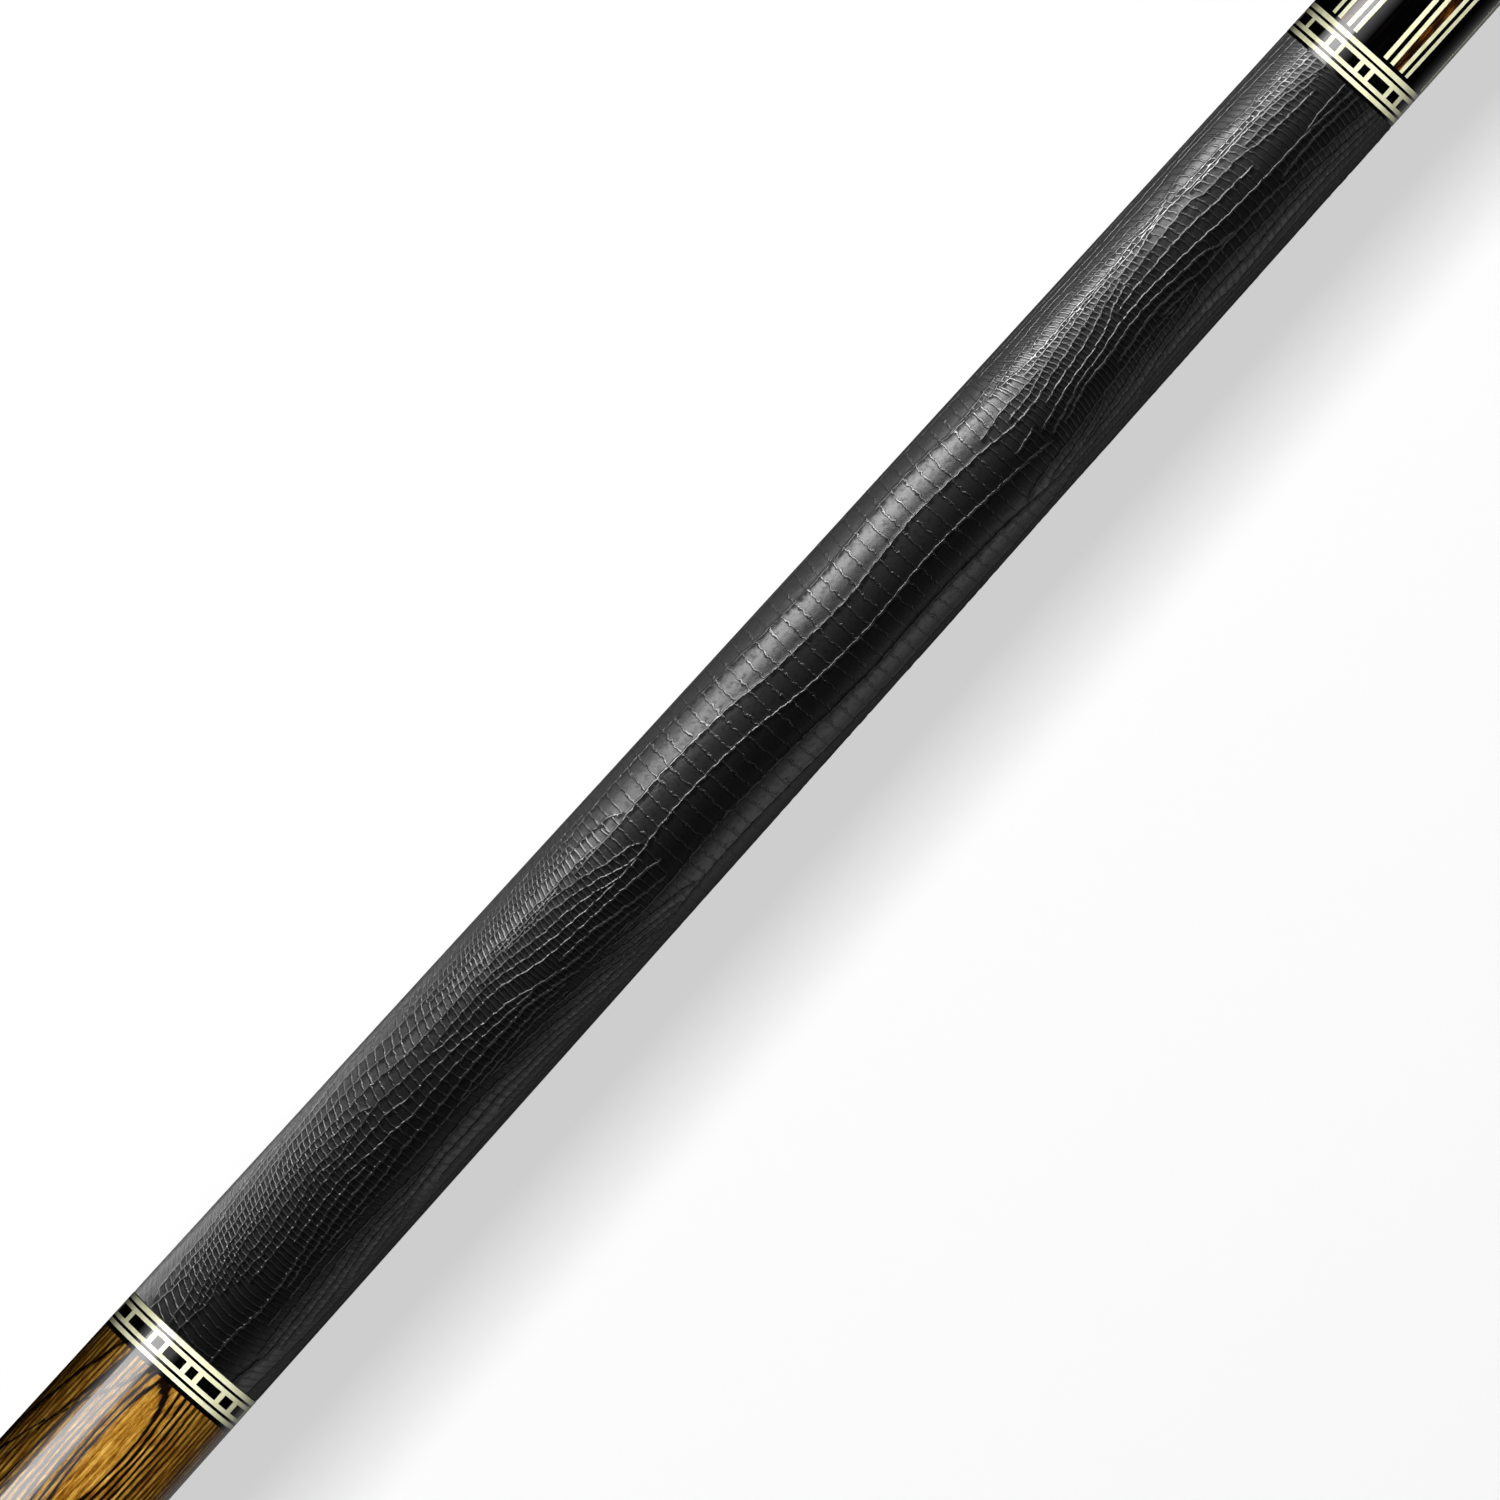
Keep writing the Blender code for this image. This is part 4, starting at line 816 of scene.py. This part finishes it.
def barred_ring(stack, start, middle, end):
    """The cream ring whose teeth run between the black blocks, and the black blocks."""
    outline = [(start, RING_BORE), *[(s, butt_radius(s)) for s in (start, middle, end)],
               (end, RING_BORE), (start, RING_BORE)]
    piece = turned(f"{stack}_toothed_ring", outline)
    # the ring's edges are slid round until one stands at each side of every bar
    edges = np.array(sorted(e % 360 for bar in bars for e in bar))
    steps = np.round(edges / 1.5) * 1.5
    for vertex in piece.data.vertices:
        y, z = vertex.co.y, vertex.co.z - AXIS
        radius, angle = sqrt(y * y + z * z), np.degrees(np.arctan2(-y, z)) % 360
        moved = radians(np.interp(angle, [steps[-1] - 360, *steps, steps[0] + 360],
                                  [edges[-1] - 360, *edges, edges[0] + 360]))
        vertex.co.y, vertex.co.z = -sin(moved) * radius, AXIS + cos(moved) * radius
    piece.data.update()
    wanted = []
    for face in piece.data.polygons:
        x, y, z = face.center.x, face.center.y, face.center.z - AXIS
        angle = np.degrees(np.arctan2(-y, z)) % 360
        in_bar = any(a <= turned_on <= b for a, b in bars for turned_on in (angle, angle - 360))
        wanted.append(x > along(middle) and sqrt(y * y + z * z) > 11 * MM and abs(face.normal.x) < 0.5
                      and not in_bar)
    bpy.ops.object.mode_set(mode="EDIT")
    bpy.ops.mesh.select_mode(type="FACE")
    bpy.ops.mesh.select_all(action="DESELECT")
    bpy.ops.object.mode_set(mode="OBJECT")
    for face, pick in zip(piece.data.polygons, wanted):
        face.select = bool(pick)
    bpy.ops.object.mode_set(mode="EDIT")
    bpy.ops.mesh.separate(type="SELECTED")
    bpy.ops.object.mode_set(mode="OBJECT")
    pads = [o for o in bpy.context.selected_objects if o != piece][0]
    pads.name = f"{stack}_black_blocks"
    fit(piece, cream, f"{stack}_ring_toothed")
    fit(pads, black, f"{stack}_ring_blocks")


for stack, start, end_ring in (("lower", 136.9, 0.92), ("upper", 449.45, 0.64)):
    station = start
    for part, width in [("black_0", end_ring), *STACK]:
        after = station + width
        if part == "toothed":
            barred_ring(stack, station, after, after + BLOCK_WIDTH)
        elif part != "blocks":
            paint, slot = (cream, "cream_ring") if "cream" in part else (black, "black_phenolic")
            fit(ring(f"{stack}_{part}_ring", station, after, RING_BORE), paint,
                f"{stack}_ring_{part}")
        station = after

for stack, start, radius, body in (("cap", 35.0, butt_radius, "butt"),
                                   ("joint", 714.33, butt_radius, "butt"),
                                   ("shaft", 756.6, shaft_radius, "shaft")):
    station = start
    for part, width in (("cream_1", 0.86), ("black_1", 0.55), ("cream_2", 0.86)):
        paint, slot = (cream, "cream_ring") if "cream" in part else (black, "black_phenolic")
        fit(ring(f"{stack}_{part}_band", station, station + width, 6.4, radius), paint,
            f"{stack}_ring_{part}", body)
        station += width

# ---------------------------------------------------------------- butt

bumper_outline = [(1.2, 0.0), (1.2, 3.0), (0.9, 3.4), (0.3, 3.8), (0.0, 4.4), (0.0, 10.5),
                  (0.3, 11.5), (0.9, 12.3), (1.9, 12.75), (3.0, 13.0), (9.9, 13.0),
                  (9.9, 5.3), (12.2, 5.3), (13.0, 5.7), (13.8, 5.3), (16.2, 5.3), (17.0, 5.7),
                  (17.8, 5.3), (20.2, 5.3), (21.0, 5.7), (21.8, 5.3), (24.0, 5.3), (24.0, 0.0)]
fit(turned("rubber_bumper", bumper_outline, sides=120), rubber, "bumper", "bumper")

CAP_START, CAP_END, CAP_ROUND = 10.0, 35.0, 1.8
CAP_FLOOR, CAP_HOLE = 24.6, 5.9
cap_round = [(CAP_START + CAP_ROUND * (1 - cos(radians(a))),
              butt_radius(12) - CAP_ROUND + CAP_ROUND * sin(radians(a))) for a in range(0, 91, 15)]
cap = turned("butt_cap_shell", [
    (CAP_FLOOR, CAP_HOLE), (CAP_START, CAP_HOLE), *cap_round, (CAP_END, butt_radius(CAP_END)),
    (CAP_END, RING_BORE), (CAP_FLOOR, RING_BORE), (CAP_FLOOR, CAP_HOLE)])
fit(cap, black, "butt_cap")

fit(ring("bocote_sleeve", 37.27, 136.9, 9.55), bocote, "butt_sleeve")
wrap = make_wrap()
fit(wrap, lizard, "leather_wrap")
fit(ring("ebony_forearm", 456.69, 714.33, 9.0), ebony, "forearm")
fit(ring("joint_collar_shell", 716.6, 736.6, 4.9), black, "joint_collar")

# ---------------------------------------------------------------- points

POINT_START, POINT_LENGTH, POINT_WIDEST = 457.49, 190.0, 70.0
POINT_HALF_START, POINT_HALF_WIDEST = 3.36, 4.17
LAYER = 0.86                # a veneer's thickness


def point_layer(name, angle, inset, lift):
    """One layer of a point, laid in the surface: a long blade that ends in a sharp tip."""
    deselect()
    outer = np.array([POINT_HALF_START, POINT_HALF_WIDEST, 0.0])
    at = np.array([0.0, POINT_WIDEST, POINT_LENGTH])
    # the blade ends where this layer's half width has shrunk away
    shown = (POINT_HALF_WIDEST - inset) / POINT_HALF_WIDEST
    length = POINT_WIDEST + (POINT_LENGTH - POINT_WIDEST) * shown
    bpy.ops.mesh.primitive_grid_add(x_subdivisions=60, y_subdivisions=24, size=2)
    piece = bpy.context.object
    piece.name = name
    flat = np.empty(len(piece.data.vertices) * 3)
    piece.data.vertices.foreach_get("co", flat)
    flat = flat.reshape(-1, 3)
    ahead = (flat[:, 0] + 1) / 2 * length
    half = np.maximum(np.interp(ahead, at, outer) - inset, 0.002)
    radius = butt_radius(POINT_START + ahead) + lift
    turn = np.radians(angle) + flat[:, 1] * half / radius
    place = np.column_stack([along(POINT_START + ahead), -np.sin(turn) * radius * MM,
                             AXIS + np.cos(turn) * radius * MM])
    piece.data.vertices.foreach_set("co", place.ravel())
    bpy.ops.object.mode_set(mode="EDIT")
    bpy.ops.mesh.select_all(action="SELECT")
    bpy.ops.mesh.extrude_region_move()
    bpy.ops.transform.resize(value=(1, 0.97, 0.97), center_override=(0, 0, AXIS))
    bpy.ops.mesh.select_all(action="SELECT")
    bpy.ops.mesh.normals_make_consistent(inside=False)
    bpy.ops.object.mode_set(mode="OBJECT")
    bpy.ops.object.shade_smooth_by_angle(angle=radians(35))
    return piece


for number, angle in enumerate((30, 90, 150, -150, -90, -30), 1):
    for layer, (part, paint, slot) in enumerate((("outer_veneer", cream, "veneer"),
                                                 ("black_veneer", black, "veneer"),
                                                 ("inner_veneer", cream, "veneer"),
                                                 ("heart", dark_bocote, "bocote"))):
        # each layer stands 4 microns over the one round it
        blade = point_layer(f"point_{number}_{part}", angle, layer * LAYER, 0.006 + layer * 0.004)
        node = "core" if part == "heart" else "veneer"
        fit(blade, paint, f"point_{node}_{number}")

# ---------------------------------------------------------------- joint and shaft

PITCH = 2.54
THREAD_RADIUS, THREAD_DEPTH = 4.7625, 1.1
thread = [(702.0, 0.0), (702.0, 4.4)] + [(702.3 + 0.3 * k, THREAD_RADIUS) for k in range(217)]
thread += [(767.6, 4.6), (768.3, 3.7), (768.3, 0.0)]
pin = turned("threaded_pin", thread, sides=48)
for vertex in pin.data.vertices:
    station = vertex.co.x / MM + JOINT_FACE
    y, z = vertex.co.y / MM, vertex.co.z / MM - AXIS / MM
    radius = sqrt(y * y + z * z)
    if radius > 4.5:
        turns = (station / PITCH - np.arctan2(-y, z) / (2 * pi)) % 1
        cut = THREAD_DEPTH * max(0.0, 1 - abs(turns - 0.5) / 0.36)
        vertex.co.y *= (THREAD_RADIUS - cut) / radius
        vertex.co.z = AXIS + z * MM * (THREAD_RADIUS - cut) / radius
fit(pin, steel, "joint_pin")

for name, start, end, bore, steps, paint, node, slot in (
        ("shaft_collar_shell", 736.65, 756.6, 6.4, 1, black, "shaft_collar", "black_phenolic"),
        ("maple_shaft", 758.87, 1440.8, 4.0, 28, maple, "shaft", "maple"),
        ("white_ferrule", 1440.8, 1466.2, 3.0, 1, white, "ferrule", "ferrule_white"),
        ("fibre_pad", 1466.2, 1467.0, 1.0, 1, fibre_red, "tip_pad", "red_fibre")):
    fit(ring(name, start, end, bore, shaft_radius, steps), paint, node, "shaft")
DOME = 10.6                 # the tip's rounding
dome = [(CUE_LENGTH - DOME + sqrt(DOME * DOME - r * r), r) for r in (6.35, 6.0, 5.2, 4.2, 3.2, 2.1, 1.0, 0.0)]
tip = turned("leather_tip_dome", [(1467.0, 0.0), (1467.0, 6.4), *dome], sides=96)
fit(tip, tip_skin, "leather_tip", "shaft")

# ---------------------------------------------------------------- floor, light and camera

deselect()
bpy.ops.mesh.primitive_grid_add(x_subdivisions=8, y_subdivisions=8, size=40.0, location=(0, 0, -0.14 * MM))
floor = bpy.context.object
floor.name = "floor"
floor_paint = new_material("white floor")
glow = add(floor_paint, "ShaderNodeEmission", Color=(1, 1, 1, 1), Strength=0.604)
matt = add(floor_paint, "ShaderNodeBsdfDiffuse", Color=(0.2, 0.2, 0.2, 1))
both = add(floor_paint, "ShaderNodeAddShader", i0=glow.outputs[0], i1=matt.outputs[0])
add(floor_paint, "ShaderNodeOutputMaterial", Surface=both.outputs[0])
wear(floor, floor_paint)
floor.visible_glossy = False
floor.visible_diffuse = False

floor_only = bpy.data.collections.new("floor only")
floor_only.objects.link(floor)
cue_only = bpy.data.collections.new("all but the floor")
cue_only.objects.link(floor)
cue_only.collection_objects[0].light_linking.link_state = "EXCLUDE"


def strip_light(name, angle, reach, width, strength, falls_on, start=-1.7, end=1.7,
                mirrored=False):
    """A long soft light along the cue, at an angle from straight above towards +Y. Its strength is
    its radiance, and falls_on is the collection that it lights."""
    a = radians(angle)
    bpy.ops.object.light_add(
        type="AREA", location=((start + end) / 2, reach * sin(a), AXIS + reach * cos(a)))
    light = bpy.context.object
    light.name = name
    light.rotation_euler = (-a, 0, 0)
    light.data.shape = "RECTANGLE"
    light.data.size = end - start
    light.data.size_y = width
    # an area light of power P and area A has radiance P / (pi A)
    light.data.energy = strength * pi * (end - start) * width
    light.visible_camera = False
    light.visible_glossy = mirrored
    light.visible_transmission = False
    light.light_linking.receiver_collection = falls_on
    if mirrored:
        light.light_linking.blocker_collection = cue_only
    return light


# the floor's own light, which leaves the cue's soft shadow on the -Y side
STRIP_REACH = 1.6
strip_width = 2 * STRIP_REACH * np.tan(radians(3.25))
for angle, strength in ((29.25, 7.0), (35.75, 9.8), (42.25, 15.0), (48.75, 24.0)):
    strip_light(f"floor strip {angle:.0f}", angle, STRIP_REACH, strip_width, strength, floor_only)
strip_light("key over the cue", 0, 0.06, 0.02, 6.4, cue_only)

# soft cards that only the leather mirrors: a bright one on the +Y side that starts above the grip's
# lower third, a faint one overhead, one low on the -Y side, and one at the butt's end
leather_only = bpy.data.collections.new("leather only")
leather_only.objects.link(wrap)
not_leather = bpy.data.collections.new("all but the leather")
not_leather.objects.link(wrap)
not_leather.collection_objects[0].light_linking.link_state = "EXCLUDE"
strip_light("leather window", 69, 0.35, 0.12, 36.0, leather_only, -0.465, 0.0, mirrored=True)
strip_light("leather overhead", 14, 0.6, 0.36, 0.55, leather_only, -0.47, 0.3, mirrored=True)
strip_light("leather card right", -103, 1.0, 0.6, 2.1, leather_only, mirrored=True)
strip_light("leather card left", 112, 1.0, 0.6, 0.25, leather_only, mirrored=True)
strip_light("leather card butt", 122, 0.3, 0.24, 3.2, leather_only, -0.66, -0.53, mirrored=True)

world = bpy.data.worlds.new("room")
bpy.context.scene.world = world
world.use_nodes = True
world.node_tree.nodes["Background"].inputs[0].default_value = (1, 1, 1, 1)
world.node_tree.nodes["Background"].inputs[1].default_value = 0.1
world.cycles_visibility.glossy = False

bpy.context.scene.view_settings.view_transform = "Standard"


def gloss_card(name, first, last, lower, upper, brightest):
    """A long curved card that only the gloss mirrors. Its brightness runs over the angle from
    straight above towards +Y, one way at the butt's end and another at the forearm."""
    deselect()
    angles = np.arange(first, last + 0.1, 2.0)
    bpy.ops.mesh.primitive_grid_add(x_subdivisions=4, y_subdivisions=len(angles) - 1, size=2.0)
    card = bpy.context.object
    card.name = name
    for vertex in card.data.vertices:
        a = radians(angles[int(round((vertex.co.y + 1) / 2 * (len(angles) - 1)))])
        vertex.co = (vertex.co.x * 1.8, sin(a), AXIS + cos(a))
    paint = new_material(name)
    spot = add(paint, "ShaderNodeTexCoord")
    split = add(paint, "ShaderNodeSeparateXYZ", Vector=spot.outputs["Object"])
    low = maths(paint, "SUBTRACT", split.outputs[2], AXIS)
    turn = maths(paint, "ARCTAN2", split.outputs[1], low)
    share = add(paint, "ShaderNodeMapRange", Value=turn, From_Min=radians(first),
                From_Max=radians(last))
    ramps = []
    for profile in (lower, upper):
        stops = [((a - first) / (last - first), v / brightest) for a, v in profile]
        ramps.append(add(paint, "ShaderNodeValToRGB", {"stops": stops}, Fac=share.outputs[0]).outputs[0])
    place = add(paint, "ShaderNodeMapRange", Value=split.outputs[0], From_Min=-0.62, From_Max=-0.30)
    blend = add(paint, "ShaderNodeMix", {"data_type": "RGBA"}, i0=place.outputs[0], i6=ramps[0], i7=ramps[1])
    shine = add(paint, "ShaderNodeEmission", Color=blend.outputs[2], Strength=brightest)
    add(paint, "ShaderNodeOutputMaterial", Surface=shine.outputs[0])
    wear(card, paint)
    card.visible_camera = False
    card.visible_diffuse = False
    card.visible_shadow = False
    card.visible_transmission = False
    card.light_linking.receiver_collection = not_leather


gloss_card("window card", -2.0, 82.0, [
    (5, 0), (7, 0.2), (11.5, 0.55), (16, 1.5), (25, 1.63), (28.2, 1.9), (28.7, 5.6), (30, 5.95), (35, 9.15),
    (40, 10.4), (50, 11), (60, 10.3), (62.5, 10.1), (63, 3.0), (65.4, 2.55), (71, 1.0), (76.6, 0.34), (80, 0)], [
    (7, 0), (11.5, 0.36), (16, 0.75), (20.7, 1.25), (25, 1.75), (32.2, 2.3), (32.8, 9.0), (35, 9.65), (40, 11),
    (50, 11), (60, 9.0), (65.4, 6.9), (66, 4.5), (71, 3.05), (76.6, 0.08), (78, 0)], 11.0)
faint = [(-168, 0.2), (-157, 0.2), (-140, 0.28), (-128, 0.16), (-119, 0.07), (-110, 0.03), (-105, 0)]
gloss_card("low card", -168.0, -104.0, faint, faint, 1.0)

# the camera looks down on the grip, a little from the joint's side
middle = Vector((-0.44658, -0.002165, AXIS))
eye = middle + Vector((0.083, 0.0, 6.018))
back = (eye - middle).normalized()
forward_x = (Vector((1, 0, 0)) - back * back.x).normalized()
across = back.cross(forward_x)
lean = radians(47.935)
right = forward_x * cos(lean) - across * sin(lean)
up = forward_x * sin(lean) + across * cos(lean)
bpy.ops.object.camera_add(location=eye)
camera = bpy.context.object
camera.rotation_euler = Matrix((right, up, back)).transposed().to_euler()
camera.data.sensor_width = 36
camera.data.lens = 808.8
camera.data.clip_start = 0.1
camera.data.clip_end = 60
bpy.context.scene.camera = camera
